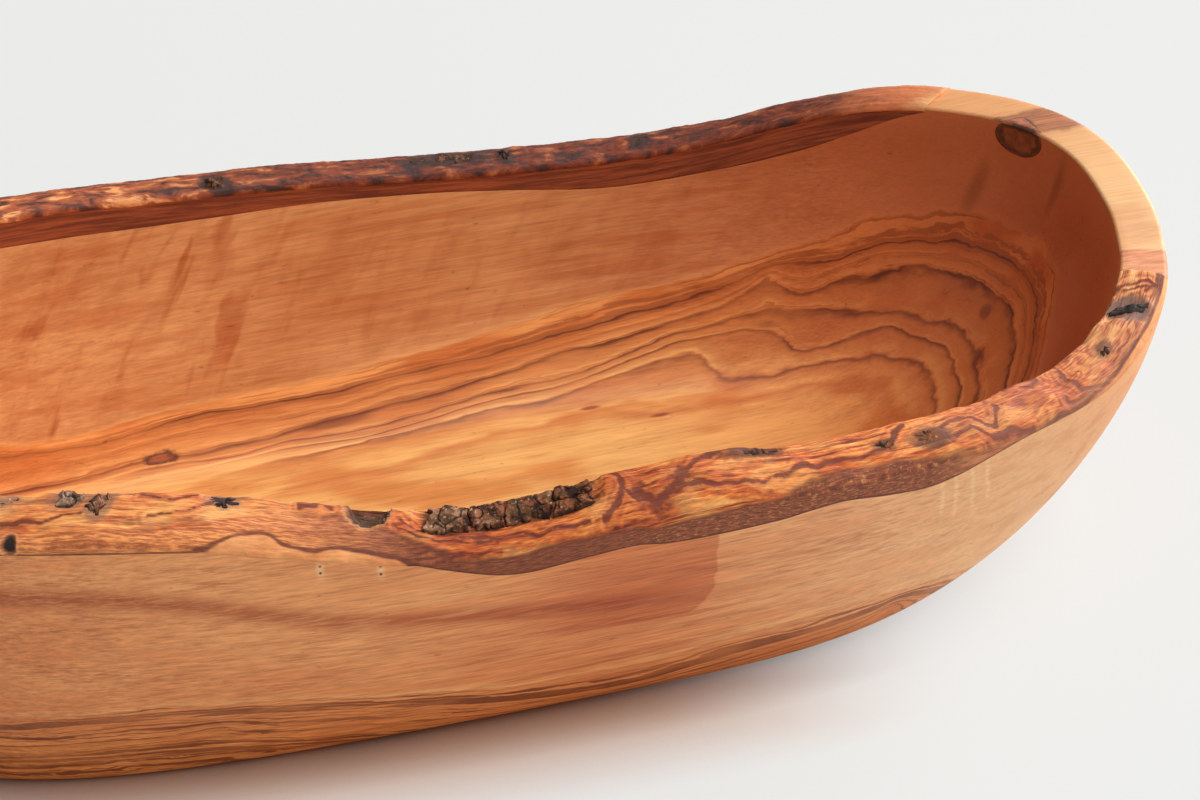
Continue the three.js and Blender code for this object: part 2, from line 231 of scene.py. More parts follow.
# A socket that takes part in Python sums, and makes any other node from it
class Wire:
    def __init__(self, tree, colours, socket=None):
        self.tree = tree
        self.colours = colours
        self.socket = socket

    # Any node: its type, the values or links of its sockets, which output is wanted, and its settings,
    # which are set first; colours are named from the piece's own, and a ramp's stops are place and grey level
    def make(self, kind, sockets=None, out=None, **settings):
        node = self.tree.nodes.new("ShaderNode" + kind)
        for name, value in settings.items():
            if name == "stops":
                ramp = node.color_ramp.elements
                for place, level in value:
                    stop = {0: ramp[0], 1: ramp[-1]}.get(place) or ramp.new(place)
                    stop.color = (level, level, level, 1.0)
            else:
                setattr(node, name, value)
        for name, value in (sockets or {}).items():
            socket = next(s for s in node.inputs if name in (s.identifier, s.name))
            if isinstance(value, Wire):
                self.tree.links.new(value.socket, socket)
            else:
                socket.default_value = tint(*self.colours[value]) if socket.type == "RGBA" else value
        wanted = [s for s in node.outputs if out in (None, s.identifier, s.name)]
        return Wire(self.tree, self.colours, wanted[0]) if wanted else None

    def math(self, operation, *values):
        return self.make("Math", dict(zip(("Value", "Value_001"), values)), operation=operation)

    def __add__(self, other):
        return self.math("ADD", self, other)

    def __sub__(self, other):
        return self.math("SUBTRACT", self, other)

    def __rsub__(self, other):
        return self.math("SUBTRACT", other, self)

    def __mul__(self, other):
        return self.math("MULTIPLY", self, other)

    __radd__ = __add__
    __rmul__ = __mul__

    def __abs__(self):
        return self.math("ABSOLUTE", self)

    def least(self, other):
        return self.math("MINIMUM", self, other)

    def most(self, other):
        return self.math("MAXIMUM", self, other)

    # 0 at the low mark, 1 at the high mark, eased between them
    def step(self, low, high):
        marks = {"Value": self, "From Min": low, "From Max": high}
        return self.make("MapRange", marks, interpolation_type="SMOOTHSTEP")

    # 1 at the low mark, 0 at the high mark
    def drop(self, low, high):
        return 1 - self.step(low, high)

    # Noise brought to 0 in the mean, over a reach
    def swing(self, reach):
        return (self - 0.5) * reach

    # Colour between two colours, by this factor
    def between(self, first, second, blend="MIX"):
        sockets = {"Factor_Float": self, "A_Color": first, "B_Color": second}
        return self.make("Mix", sockets, "Result_Color", data_type="RGBA", blend_type=blend)

    # Colour that goes from one to another while this value goes from the low mark to the high mark
    def fade(self, low, high, first, second):
        return self.step(low, high).between(first, second)

    # Colour multiplied by another, as far as this factor says
    def stained(self, colour, stain):
        return self.between(colour, stain, "MULTIPLY")

    # Colour made lighter or darker by a factor
    def scale(self, factor):
        return self.make("VectorMath", {"Vector": self, "Scale": factor}, operation="SCALE")

    # Vector with each axis counted in a size of its own
    def per(self, x, y, z):
        sockets = {"Vector": self, "Vector_001": (1 / x, 1 / y, 1 / z)}
        return self.make("VectorMath", sockets, operation="MULTIPLY")

    # Noise whose blobs have these sizes, about 0.5 in the mean
    def cloud(self, x, y, z, detail=3.0, rough=0.55, twist=0.0):
        sockets = {"Vector": self.per(x, y, z), "Scale": 1.0, "Detail": detail}
        return self.make("TexNoise", {**sockets, "Roughness": rough, "Distortion": twist})

    # One coordinate of a place
    def axis(self, name):
        return self.make("SeparateXYZ", {"Vector": self}, name)

    # 1 at a place, 0 beyond an oval of these half sizes round it
    def spot(self, centre, size, soft):
        moved = self.make("VectorMath", {"Vector": self, "Vector_001": centre}, operation="SUBTRACT")
        away = self.make("VectorMath", {"Vector": moved.per(*size)}, "Value", operation="LENGTH")
        return away.drop(1 - soft, 1 + soft)

    # Place on the piece in millimetres
    def place(self):
        return self.make("TexCoord", out="Object").per(mm, mm, mm)

    # The piece's own values, by their names
    def fields(self, names):
        return [self.make("Attribute", out="Fac", attribute_name=name) for name in names.split()]


# Colour as written on screen, in red, green and blue up to 255
def tint(red, green, blue):
    channels = np.array([red, green, blue]) / 255
    linear = np.where(channels < 0.04045, channels / 12.92, ((channels + 0.055) / 1.055) ** 2.4)
    return (*linear.tolist(), 1.0)


def startNodes(owner, colours):
    owner.use_nodes = True
    owner.node_tree.nodes.clear()
    return Wire(owner.node_tree, colours)


def startMaterial(name, colours):
    material = bpy.data.materials.new(name)
    return material, startNodes(material, colours)


# Colour, roughness and relief, whose depth is in millimetres
def finishMaterial(ink, colour, rough, height, depth, specular=0.4):
    bump = ink.make("Bump", {"Strength": 1.0, "Distance": depth * mm, "Height": height})
    sockets = {"Base Color": colour, "Roughness": rough, "Normal": bump, "Specular IOR Level": specular}
    ink.make("OutputMaterial", {"Surface": ink.make("BsdfPrincipled", sockets)})


# Heartwood: an uneven oval round the log's middle, by length along the bowl, squarer at the right end,
# with its ring lines as depths below the heart's edge
heart = {
    "middleZ": -5,
    "middleY": [(-180, -10), (-100, -8), (20, 0), (60, 3), (107, 12), (150, 25), (172, 30)],
    "high": [(-180, 42), (-100, 42), (20, 45), (60, 48), (107, 55), (150, 63), (172, 66)],
    "back": [(-180, 62), (-100, 62.7), (20, 72.5), (107, 69), (150, 66)],
    "front": [(-180, 71), (-100, 71), (20, 75), (107, 93), (130, 60), (150, 36)],
    "frontShift": [
        (-117, 0.06), (-100, 0), (-80, -0.05), (-47, -0.04), (-13, 0), (3, 0.03), (37, 0.1), (70, 0.15),
        (103, 0.18),
    ],
    "shiftBetween": (-10, 40), "power": 2, "endPower": 2, "squareBetween": (100, 142),
    "spacing": 0.1, "leastGap": 0.012,
    "rings": [
        [(-107, -0.08), (-97, -0.05), (-80, -0.044), (-47, -0.031), (-30, -0.006), (3, 0.006), (20, -0.012),
         (37, -0.028), (53, -0.034), (70, -0.022), (87, -0.015), (102, -0.006), (110, 0.012), (120, 0.022),
         (133, 0.03)],
        [(-107, -0.028), (-97, -0.006), (-80, 0.012), (-55, 0.012), (-47, 0.031), (-37, 0.047),
         (-13, 0.075), (3, 0.087), (20, 0.094), (37, 0.085), (53, 0.072), (70, 0.075), (87, 0.062),
         (94, 0.038), (103, 0.081), (108, 0.119), (112, 0.138), (125, 0.148), (137, 0.144)],
        [(-107, 0.062), (-80, 0.075), (-55, 0.081), (-37, 0.112), (-30, 0.13), (-13, 0.138), (20, 0.14),
         (53, 0.115), (87, 0.095), (94, 0.06), (103, 0.14), (125, 0.19)],
        [(-107, 0.15), (-80, 0.165), (-68, 0.15), (-60, 0.181), (-47, 0.194), (-30, 0.2), (0, 0.206),
         (20, 0.194), (37, 0.165), (53, 0.156), (70, 0.15), (82, 0.148), (88, 0.119), (94, 0.085),
         (98, 0.175), (103, 0.212), (112, 0.231), (120, 0.25), (130, 0.256)],
        [(-107, 0.2), (-63, 0.2), (-55, 0.225), (-47, 0.244), (-35, 0.238), (-27, 0.262), (-13, 0.279),
         (12, 0.275), (45, 0.262), (53, 0.238), (62, 0.219), (67, 0.21), (73, 0.228), (83, 0.238),
         (92, 0.262), (103, 0.281), (108, 0.331), (112, 0.388), (117, 0.412), (123, 0.425)],
        [(-107, 0.24), (-60, 0.25), (-35, 0.275), (-22, 0.3), (-15, 0.315), (3, 0.306), (20, 0.298),
         (37, 0.3), (45, 0.288), (53, 0.269), (67, 0.248), (78, 0.275), (87, 0.294), (92, 0.325),
         (95, 0.37), (97, 0.43), (103, 0.462), (117, 0.475)],
        [(-107, 0.29), (-60, 0.3), (-30, 0.325), (-7, 0.331), (20, 0.338), (28, 0.344), (45, 0.328),
         (53, 0.312), (62, 0.3), (67, 0.3), (72, 0.312), (75, 0.37), (78, 0.45), (83, 0.494), (95, 0.519),
         (112, 0.55)],
        [(-107, 0.42), (-60, 0.45), (-30, 0.462), (-13, 0.488), (3, 0.469), (20, 0.45), (28, 0.462),
         (38, 0.44), (60, 0.52), (80, 0.575), (112, 0.63)],
    ],
}


# How deep a point lies in the heart: 1 at the log's middle, 0 at the heart's edge, less in the sapwood
def heartDepth(points):
    x, y, z = np.moveaxis(points, -1, 0)
    sideways = y - smoothThrough(heart["middleY"], x)
    reach = np.where(sideways > 0, smoothThrough(heart["back"], x), smoothThrough(heart["front"], x))
    upwards = (z - heart["middleZ"]) / smoothThrough(heart["high"], x)
    shift = smoothThrough(heart["frontShift"], x) * ease(-y, *heart["shiftBetween"])
    power = heart["power"] + heart["endPower"] * ease(x, *heart["squareBetween"])
    return 1 - (np.abs(sideways / reach) ** power + np.abs(upwards) ** power) ** (1 / power) - shift


# Ring number at a point: whole numbers on the ring lines, shares of the way from one to the next between them
def ringNumber(points):
    depth = heartDepth(points)
    paths = [smoothThrough(path, points[..., 0]) for path in heart["rings"]]
    number = (depth - paths[0]) / heart["spacing"]
    for k, (outer, inner) in enumerate(zip(paths, paths[1:])):
        share = (depth - outer) / np.maximum(inner - outer, heart["leastGap"])
        number = np.where(depth > outer, k + np.minimum(share, 1), number)
    beyond = len(paths) - 1 + (depth - paths[-1]) / heart["spacing"]
    return np.where(depth > paths[-1], beyond, number)


# Live edges: the log's dark outer layer, by the angles it runs between; depths are below the rim's edges
frontEdge = {
    "from": -145, "to": -22, "innerDepth": 8, "innerFadeFrom": 18, "innerFadeTo": 14, "endShare": 0.25,
    "layer": [
        (-145, 0.6), (-135, 1.4), (-127, 1.9), (-118, 1.4), (-115.5, 0.6), (-113.8, -0.7), (-112.5, -2.2),
        (-111, -2.7), (-109.8, -1.3), (-108, -0.7), (-106.5, -1.4), (-105, -1), (-103.5, -0.7), (-101.8, 0),
        (-99.3, 2.4), (-97.4, 4.4), (-95.8, 6), (-94, 7), (-89, 6.7), (-85.5, 6.9), (-83, 8.6), (-77, 8.9),
        (-74, 7.2), (-71, 5.1), (-68.5, 4.2), (-64, 5.8), (-61, 6.5), (-58.5, 5.6), (-55, 2.8), (-52, 0.9),
        (-48.5, 0.3), (-45, 0), (-41.5, -0.3), (-38, -0.7), (-34, -1), (-22, -1),
    ],
    "dark": [
        (-145, -1), (-127.5, -1.4), (-120, -1.9), (-117, -2.5), (-114, -4.6), (-111, -6.9), (-109, -7.5),
        (-106.5, -6.9), (-104.5, -6.5), (-103, -4.6), (-101.3, -2.7), (-99.5, -0.8), (-97.3, 0.5), (-95, 0.8),
        (-89, 0.8), (-86, 1.2), (-84, 2.8), (-81, 2.8), (-77, 2), (-74, 0.6), (-72, -0.8), (-68, -1.9),
        (-64, -1.5), (-60, -0.5), (-56, 0), (-50, 0), (-40, -2), (-30, -2.5), (-22, -2),
    ],
    "crown": 1, "outerRound": 1.6, "innerRound": 0.7, "leastDepth": 0.4,
    "sections": 1300, "topPoints": 40, "outerPoints": 20, "innerPoints": 10, "seed": 11,
    "swell": 0.62, "ripple": 0.2, "flake": 0.0,
}
backEdge = {
    "from": 43, "to": 142, "outerDepth": 8, "outerFadeFrom": 12, "outerFadeTo": 18, "endShare": 0.25,
    "layer": [
        (43, 0.5), (46, 2.5), (50, 5.8), (56, 8.6), (66, 7.8), (75.5, 7.2), (85.5, 4.8), (94.5, 3.9),
        (110.5, 6.2), (126, 7.1), (142, 1),
    ],
    "crown": 1, "outerRound": 1.2, "innerRound": 1.0, "leastDepth": 0.5,
    "sections": 1000, "topPoints": 36, "outerPoints": 12, "innerPoints": 18, "seed": 31,
    "swell": 0.28, "ripple": 0.12, "flake": 0.18,
}

# Dark veins drawn on the front's skin: half width in millimetres, then angles and shares across
frontVeins = [
    (0.45, [(-80, 0.68), (-77.5, 0.76), (-75, 0.78), (-72.5, 0.66), (-71, 0.56), (-67, 0.61), (-65.5, 0.61),
            (-64, 0.53), (-62.5, 0.36), (-61, 0.15)]),
    (0.7, [(-87, 0), (-86.2, 0.19), (-86.2, 0.41), (-86.7, 0.6), (-87.4, 0.78), (-88.2, 0.9)]),
    (0.4, [(-86.2, 0.41), (-85.6, 0.6), (-85.2, 0.71)]),
    (1.6, [(-85.2, 0.5), (-84.5, 0.66), (-83.5, 0.8), (-82.8, 0.75), (-82, 0.56), (-80.8, 0.36)]),
    (0.6, [(-80.8, 0.36), (-79.3, 0.17), (-78, 0.02), (-72.5, 0.05)]),
    (0.6, [(-82, 0.56), (-80.6, 0.68), (-80, 0.68)]),
    (0.5, [(-58.2, 0.42), (-56.5, 0.29), (-55.3, 0.34), (-54.8, 0.56), (-54.2, 0.75), (-53.2, 0.56),
           (-52.2, 0.27)]),
    (0.4, [(-50, 0.03), (-47.6, 0), (-46, 0.1), (-47.5, 0.27), (-48.4, 0.19)]),
    (0.5, [(-43, 0.02), (-44, 0.46), (-43.8, 0.8), (-42, 0.93), (-39.5, 0.9), (-36, 0.86), (-33.5, 0.92)]),
    (0.4, [(-46, 0.73), (-46.5, 0.88), (-45.2, 0.92), (-43, 0.93)]),
    (0.5, [(-58, 0.71), (-56, 0.61), (-55, 0.92), (-53, 0.93), (-51, 0.97)]),
    (0.4, [(-27, 0), (-26, 0.07), (-24.6, 0.31), (-23.5, 0.63), (-24.6, 0.78), (-26, 0.63)]),
    (0.3, [(-26.5, 0.2), (-25.3, 0.4), (-25, 0.6)]),
    (0.22, [(-118.5, 0.53), (-117, 0.47), (-115.5, 0.32), (-114.7, 0.2)]),
    (0.2, [(-119.3, 0.1), (-117.2, 0.2), (-115.8, 0.07)]),
    (0.6, [(-109.2, 0.15), (-107.7, 0.05), (-107, 0.15)]),
    (0.3, [(-128, 0.63), (-125.3, 0.59), (-122.8, 0.47)]),
    (0.3, [(-102.5, 0.25), (-101.3, 0.55), (-99.5, 0.62), (-97.3, 0.72), (-94.8, 0.82), (-92, 0.85),
           (-89.4, 0.88)]),
    (0.2, [(-102.8, 0.4), (-101.3, 0.66), (-99.4, 0.74), (-97.3, 0.8), (-96, 0.82)]),
]
veinWarp = {"size": 5, "reach": 0.7, "seeds": (71, 81), "weakest": -4.0}
beetleHole = {"angle": -126.8, "below": 0.1, "radius": 1.7, "depth": 0.9}
skinWidth = 10  # millimetres that the skin's width counts for in its pattern
farAway = 9.0  # distance at which marks and bark no longer count

# Sizes of the skin's swell, ripples and flakes, along it and across, and the angles where its burl sets in
# and runs out
skinShape = {
    "swellSize": (11, 4.5, 1), "rippleSize": (5, 0.9, 1), "flakeSize": (3.2, 1.8, 1),
    "rippleSeed": 5, "flakeSeed": 9, "burlFrom": (-60, -50), "burlTo": (-32, -26), "burlSwell": 0.6,
    "innerBlend": 0.8,
}

# Hollows in the front's live edge: middle and half width as angles, reach across, depth, squareness
hollows = {
    "plates": {"middle": -94.7, "half": 7.2, "reach": 0.66, "depth": 1.9, "square": 5},
    "notch": {"middle": -104.7, "half": 1.6, "reach": 0.48, "depth": 3.8, "square": 2},
    "pocket": {"middle": -29.8, "half": 3.4, "reach": 0.9, "depth": 1.2, "square": 2},
}
hollowLip = {"power": 0.7, "ragged": 0.5, "size": 2.2, "seed": 91}


# Depth of the live edge's layer at the inner and the outer side of the wall
def layerDepths(edge, t):
    side, tracedSide = ("inner", "outer") if edge is frontEdge else ("outer", "inner")
    traced = np.maximum(smoothThrough(edge["layer"], t), edge["leastDepth"]) + edge[tracedSide + "Round"]
    start = ease(t, edge["from"], edge["from"] + edge[side + "FadeFrom"])
    end = ease(edge["to"] - t, 0, edge[side + "FadeTo"])
    plain = edge[side + "Depth"] * (edge["endShare"] + (1 - edge["endShare"]) * np.minimum(start, end))
    return (plain, traced) if edge is frontEdge else (traced, plain)


# Scooped hollows: 1 less the powers of the shares along and across, to a power that sharpens the lip
def hollowDepth(t, across):
    flat = unrolled(arcLength(t), across * skinWidth)
    ragged = hollowLip["ragged"] * roughness(flat, hollowLip["size"], 2, hollowLip["seed"])
    depth = 0
    for hollow in hollows.values():
        along = np.abs((t + ragged - hollow["middle"]) / hollow["half"]) ** hollow["square"]
        over = (across / hollow["reach"]) ** hollow["square"]
        depth = depth + hollow["depth"] * np.maximum(1 - along - over, 0) ** hollowLip["power"]
    return depth


# Drop of a rounded edge, by the distance from it
def edgeDrop(distance, radius):
    inside = np.clip(1 - distance / radius, 0, 1)
    return radius * (1 - np.sqrt(1 - inside ** 2))


# Relief of a live edge's skin, by the length along it and the way across in millimetres
def skinRelief(edge, t, across):
    flat = unrolled(arcLength(t), across * bowl["frontWall"])
    burl = ease(t, *skinShape["burlFrom"]) * (1 - ease(t, *skinShape["burlTo"]))
    swell = edge["swell"] * roughness(flat, skinShape["swellSize"], 2, edge["seed"])
    ripple = roughness(flat, skinShape["rippleSize"], 3, edge["seed"] + skinShape["rippleSeed"])
    flakes = np.abs(roughness(flat, skinShape["flakeSize"], 3, edge["seed"] + skinShape["flakeSeed"]))
    return swell * (1 + skinShape["burlSwell"] * burl) + edge["ripple"] * ripple + edge["flake"] * flakes


# Point on the log's skin, with or without its relief: the line from the inner to the outer edge, crowned by
# a parabola, less the hollows and the rounding of both edges
def skinPoint(edge, t, across, relief=True):
    inner, outer = innerRim(t), outerRim(t)
    width = np.linalg.norm(outer - inner, axis=-1)
    level = innerHeight(t) + (outerHeight(t) - innerHeight(t)) * across
    level = level + edge["crown"] * 4 * across * (1 - across) - hollowDepth(t, across)
    level = level - edgeDrop(across * width, edge["innerRound"])
    level = level - edgeDrop((1 - across) * width, edge["outerRound"])
    if relief:
        level = level + skinRelief(edge, t, across)
    return np.concatenate([inner + (outer - inner) * across[..., None], level[..., None]], -1)


# How strongly a vein marks each point of the skin, 1 on its line and 0 at its half width, and how far it is
def veinStrength(arc, over):
    flat = unrolled(arc, over)
    shifts = [veinWarp["reach"] * roughness(flat, veinWarp["size"], 2, seed) for seed in veinWarp["seeds"]]
    arc, over = arc + shifts[0], over + shifts[1]
    strength = np.full(arc.shape, veinWarp["weakest"])
    nearest = np.full(arc.shape, farAway)
    for width, path in frontVeins:
        angles, shares = np.array(path).T
        x, y = arcLength(angles), shares * skinWidth
        for x0, y0, dx, dy in zip(x, y, np.diff(x), np.diff(y)):
            along = np.clip(((arc - x0) * dx + (over - y0) * dy) / (dx * dx + dy * dy), 0, 1)
            away = np.hypot(arc - x0 - along * dx, over - y0 - along * dy)
            strength = np.maximum(strength, 1 - away / width)
            nearest = np.minimum(nearest, away)
    return strength, nearest


# Millimetres over the skin to the nearest piece of bark, less than 0 under it
def barkDistance(arc, over):
    nearest = np.full(arc.shape, farAway)
    for start, end, near, far, _, _, kind in barkPieces.values():
        left, right = arcLength(np.array([start, end], float))
        wide, deep = (right - left) / 2, (far - near) / 2 * skinWidth
        n = min(barkKinds[kind]["square"], bark["stainSquare"])
        aside = np.abs(arc - (left + right) / 2) / wide
        away = np.abs(over - (near + far) / 2 * skinWidth) / deep
        nearest = np.minimum(nearest, ((aside ** n + away ** n) ** (1 / n) - 1) * min(wide, deep))
    return nearest


# Live edge: the skin from its inner to its outer side, the outer face down, the seat back, the inner face up
def makeLiveEdge(name, edge):
    column = evenAngles(edge["from"], edge["to"], edge["sections"])[:, None]
    across = (1 - np.cos(np.linspace(0, np.pi, edge["topPoints"])))[None] / 2
    t, across = np.broadcast_arrays(column, across)
    top = skinPoint(edge, t, across)
    lift = top[..., 2] - skinPoint(edge, t, across, relief=False)[..., 2]
    innerDepth, outerDepth = layerDepths(edge, column)

    # From the rounded edge down to the seat; the skin's relief fades out on the way
    def face(side, wallAt, edgeZ, depth, edgeLift):
        share = np.linspace(0, 1, edge[side + "Points"] + 1)[None, 1:]
        below = (depth - edge[side + "Round"]) * share
        points = wallAt(np.broadcast_to(column, below.shape), edgeZ - edge[side + "Round"] - below)
        points[..., 2] += edgeLift * (1 - share)
        return points, below

    outer, outerBelow = face("outer", outerWall, outerHeight(column), outerDepth, lift[:, -1:])
    inner, innerBelow = face("inner", innerWall, innerHeight(column), innerDepth, lift[:, :1])
    rings = np.concatenate([top, outer, inner[:, ::-1]], 1)
    below = np.concatenate([(across - 1) * skinWidth, outerBelow, -skinWidth - innerBelow[:, ::-1]], 1)
    ringT = np.broadcast_to(column, below.shape)
    arc, over = arcLength(ringT), below + skinWidth
    fields = {"arc": arc, "below": below, "angle": ringT, "bark": barkDistance(arc, over)}
    fields["inner"] = ease(-over, 0, skinShape["innerBlend"])
    if edge is frontEdge:
        notch = hollows["notch"]
        along = (ringT - notch["middle"]) / notch["half"]
        aside = arc - arcLength(beetleHole["angle"])
        fields["layer"] = smoothThrough(edge["layer"], ringT) - below
        fields["dark"] = below - smoothThrough(edge["dark"], ringT)
        fields["vein"], fields["veinAway"] = veinStrength(arc, over)
        fields["notch"] = np.hypot(along, over / skinWidth / notch["reach"])
        fields["hole"] = np.hypot(aside, below - beetleHole["below"]) / beetleHole["radius"]
        inward = innerRim(ringT) - outerRim(ringT)
        inward = inward / np.linalg.norm(inward, axis=-1)[..., None]
        bore = beetleHole["depth"] * np.sqrt(np.maximum(1 - fields["hole"] ** 2, 0))
        rings[..., :2] += inward * bore[..., None]
    return closedSkin(name, rings, rings[0].mean(0), rings[-1].mean(0), fields)


# Carved body, ring by ring, and the heights of the dark figure on its front
body = {
    "columns": 620, "wallRows": 44, "floorRows": 20, "baseRows": 3, "crowding": 1.5,
    "outerRound": 1.5, "innerRound": 0.8, "seatRounding": 0.02, "roundRows": 5, "topRows": 4,
    "stepAngle": 0.08, "noFigure": 99,
    "figure": [
        (-172, 78), (-110, 70), (-90, 68), (-70, 63), (-40, 52.5), (-10, 47.5), (18, 43), (60, 38), (172, 30),
    ],
}

# Marks across the end's rim: the angles of their sides at the rim's inner and outer edge
rimMarks = {
    "knotMark": {"low": (24.4, 22.2), "high": (33, 29.2)},
    "endMark": {"low": (-30, -30), "high": (-16, -15)},
}


# Heights of the carved wood's inner and outer edge and the share of its rounding; under a live edge it lies
# lower by the layer's depth and is nearly sharp
def carvedTop(t):
    inner, outer = innerHeight(t), outerHeight(t)
    rounding = np.ones_like(t)
    for edge in (frontEdge, backEdge):
        here = (t >= edge["from"]) & (t <= edge["to"])
        innerDepth, outerDepth = layerDepths(edge, t)
        inner = np.where(here, inner - innerDepth, inner)
        outer = np.where(here, outer - outerDepth, outer)
        rounding = np.where(here, body["seatRounding"], rounding)
    return inner, outer, rounding


# Base, outer wall, quarter round, top, quarter round, inner wall, and a floor dished by a parabola
def makeCarvedBowl():
    ends = [edge[end] + side * body["stepAngle"] for edge in (frontEdge, backEdge)
            for end, side in (("from", -1), ("from", 0), ("to", 0), ("to", 1))]
    t = np.sort(np.concatenate([evenAngles(-180, 180, body["columns"] + 1)[:-1], ends]))
    innerTop, outerTop, rounding = carvedTop(t)
    outerRound, innerRound = body["outerRound"] * rounding, body["innerRound"] * rounding
    low = bowl["floorUp"]
    baseMiddle = np.array([widestX, -bowl["baseBack"], 0])
    floorMiddle = np.array([widestX, -bowl["baseBack"], low - bowl["floorDish"]])
    rows, sides = [], []

    def addRow(points, side):
        rows.append(points)
        sides.append(side)

    for k in np.linspace(0, 1, body["baseRows"] + 2)[1:]:
        addRow(outerWall(t, 0 * t) * [1, 1, 0] * k + baseMiddle * (1 - k), 0)
    shares = (np.arange(1, body["wallRows"] + 1) / body["wallRows"]) ** body["crowding"]
    for share in shares:
        addRow(outerWall(t, (outerTop - outerRound) * share), 0)
    outerEdge, innerEdge = rows[-1][:, :2], innerWall(t, innerTop - innerRound)[:, :2]
    width = np.linalg.norm(outerEdge - innerEdge, axis=1)
    quarter = np.linspace(0, np.pi / 2, body["roundRows"] + 1)
    turns = [(outerRound * (1 - np.cos(q)), outerTop - outerRound * (1 - np.sin(q))) for q in quarter[1:]]
    flat = width - outerRound - innerRound
    for k in np.linspace(0, 1, body["topRows"] + 2)[1:-1]:
        turns.append((outerRound + flat * k, outerTop + (innerTop - outerTop) * k))
    for q in quarter[:0:-1]:
        turns.append((width - innerRound * (1 - np.cos(q)), innerTop - innerRound * (1 - np.sin(q))))
    for reach, z in turns:
        plan = outerEdge + (innerEdge - outerEdge) * (reach / width)[:, None]
        addRow(np.concatenate([plan, z[:, None]], 1), 0.5)
    for share in [*shares[::-1], 0.0]:
        addRow(innerWall(t, low + (innerTop - innerRound - low) * share), 1)
    for k in np.linspace(1, 0, body["floorRows"] + 2)[1:-1]:
        ring = floorMiddle + (innerWall(t, low + 0 * t) - floorMiddle) * k
        ring[:, 2] = low - bowl["floorDish"] * (1 - k ** 2)
        addRow(ring, 1)
    rings, inside = np.stack(rows), np.array(sides)[:, None]
    figure = rings[..., 2] - smoothThrough(body["figure"], rings[..., 0])
    figure = np.where((inside == 0) & (t < 0), figure, body["noFigure"])
    fields = {"ring": ringNumber(rings), "inside": inside, "figure": figure}
    across = np.linalg.norm(rings[..., :2] - innerRim(t), axis=-1) / bowl["endWall"]
    for name, mark in rimMarks.items():
        first, last = (mark[end][0] + (mark[end][1] - mark[end][0]) * across for end in ("low", "high"))
        fields[name] = np.maximum(np.minimum(t - first, last - t), -farAway)
    return closedSkin("carved_bowl", rings, baseMiddle, floorMiddle, fields)


# Knot: a disc of the inner wall carried along +X to the outer wall, cut off by the rim
knot = {
    "angle": 28.0, "belowRim": 3.5, "radius": 5, "taper": 1, "proud": 0.06,
    "around": 72, "faceRows": 14, "sideRows": 16, "passes": 3,
    "blackBetween": (80.4, 81.6), "topBetween": (82.2, 82.5),
}


# Place on the rim's inner edge above the knot
def knotTop():
    at = np.array([knot["angle"]])
    return (*innerRim(at)[0].tolist(), innerHeight(at)[0].item())


# Angle at which a wall has a given sideways place at a height, by Newton's steps
def angleAt(wallAt, y, z, start):
    nudge, longest = 0.05, 5
    t = np.full(y.shape, start)
    for _ in range(12):
        here = wallAt(t, z)[..., 1]
        slope = (wallAt(t + nudge, z)[..., 1] - here) / nudge
        t = t - np.clip((here - y) / slope, -longest, longest)
    return t


# Two discs, one on each wall, joined by rows that widen from the inner to the outer one
def makeKnot():
    turn = np.linspace(0, 2 * np.pi, knot["around"], endpoint=False)
    side, rimZ = knotTop()[1:]
    height = rimZ - knot["belowRim"]
    outerRadius = knot["radius"] + knot["taper"]
    faces = []
    for wallAt, topAt, radius, rounding, proud in (
        (innerWall, innerHeight, knot["radius"], body["innerRound"], -knot["proud"]),
        (outerWall, outerHeight, outerRadius, body["outerRound"], knot["proud"]),
    ):
        reach = np.linspace(0, 1, knot["faceRows"] + 1)[1:, None] * radius
        y, z = side + reach * np.cos(turn), height + reach * np.sin(turn)
        level = topAt(np.full(y.shape, knot["angle"])) - rounding
        for _ in range(knot["passes"]):
            t = angleAt(wallAt, y, np.minimum(z, level), knot["angle"])
            z = np.minimum(z, topAt(t) - rounding)
        points = wallAt(t, z)
        points[..., 0] += proud
        faces.append(points)
    inner, outer = faces
    share = np.linspace(0, 1, knot["sideRows"] + 2)[1:-1, None, None]
    between = inner[-1] + (outer[-1] - inner[-1]) * share
    radii = np.linspace(knot["radius"], outerRadius, knot["sideRows"])[:, None]
    between[..., 2] = np.minimum(height + radii * np.sin(turn), rimZ + knot["proud"])
    rings = np.concatenate([inner, between, outer[::-1]])
    away = np.hypot(rings[..., 1] - side, rings[..., 2] - height) / knot["radius"]
    return closedSkin("knot", rings, inner[0].mean(0), outer[0].mean(0), {"away": away})


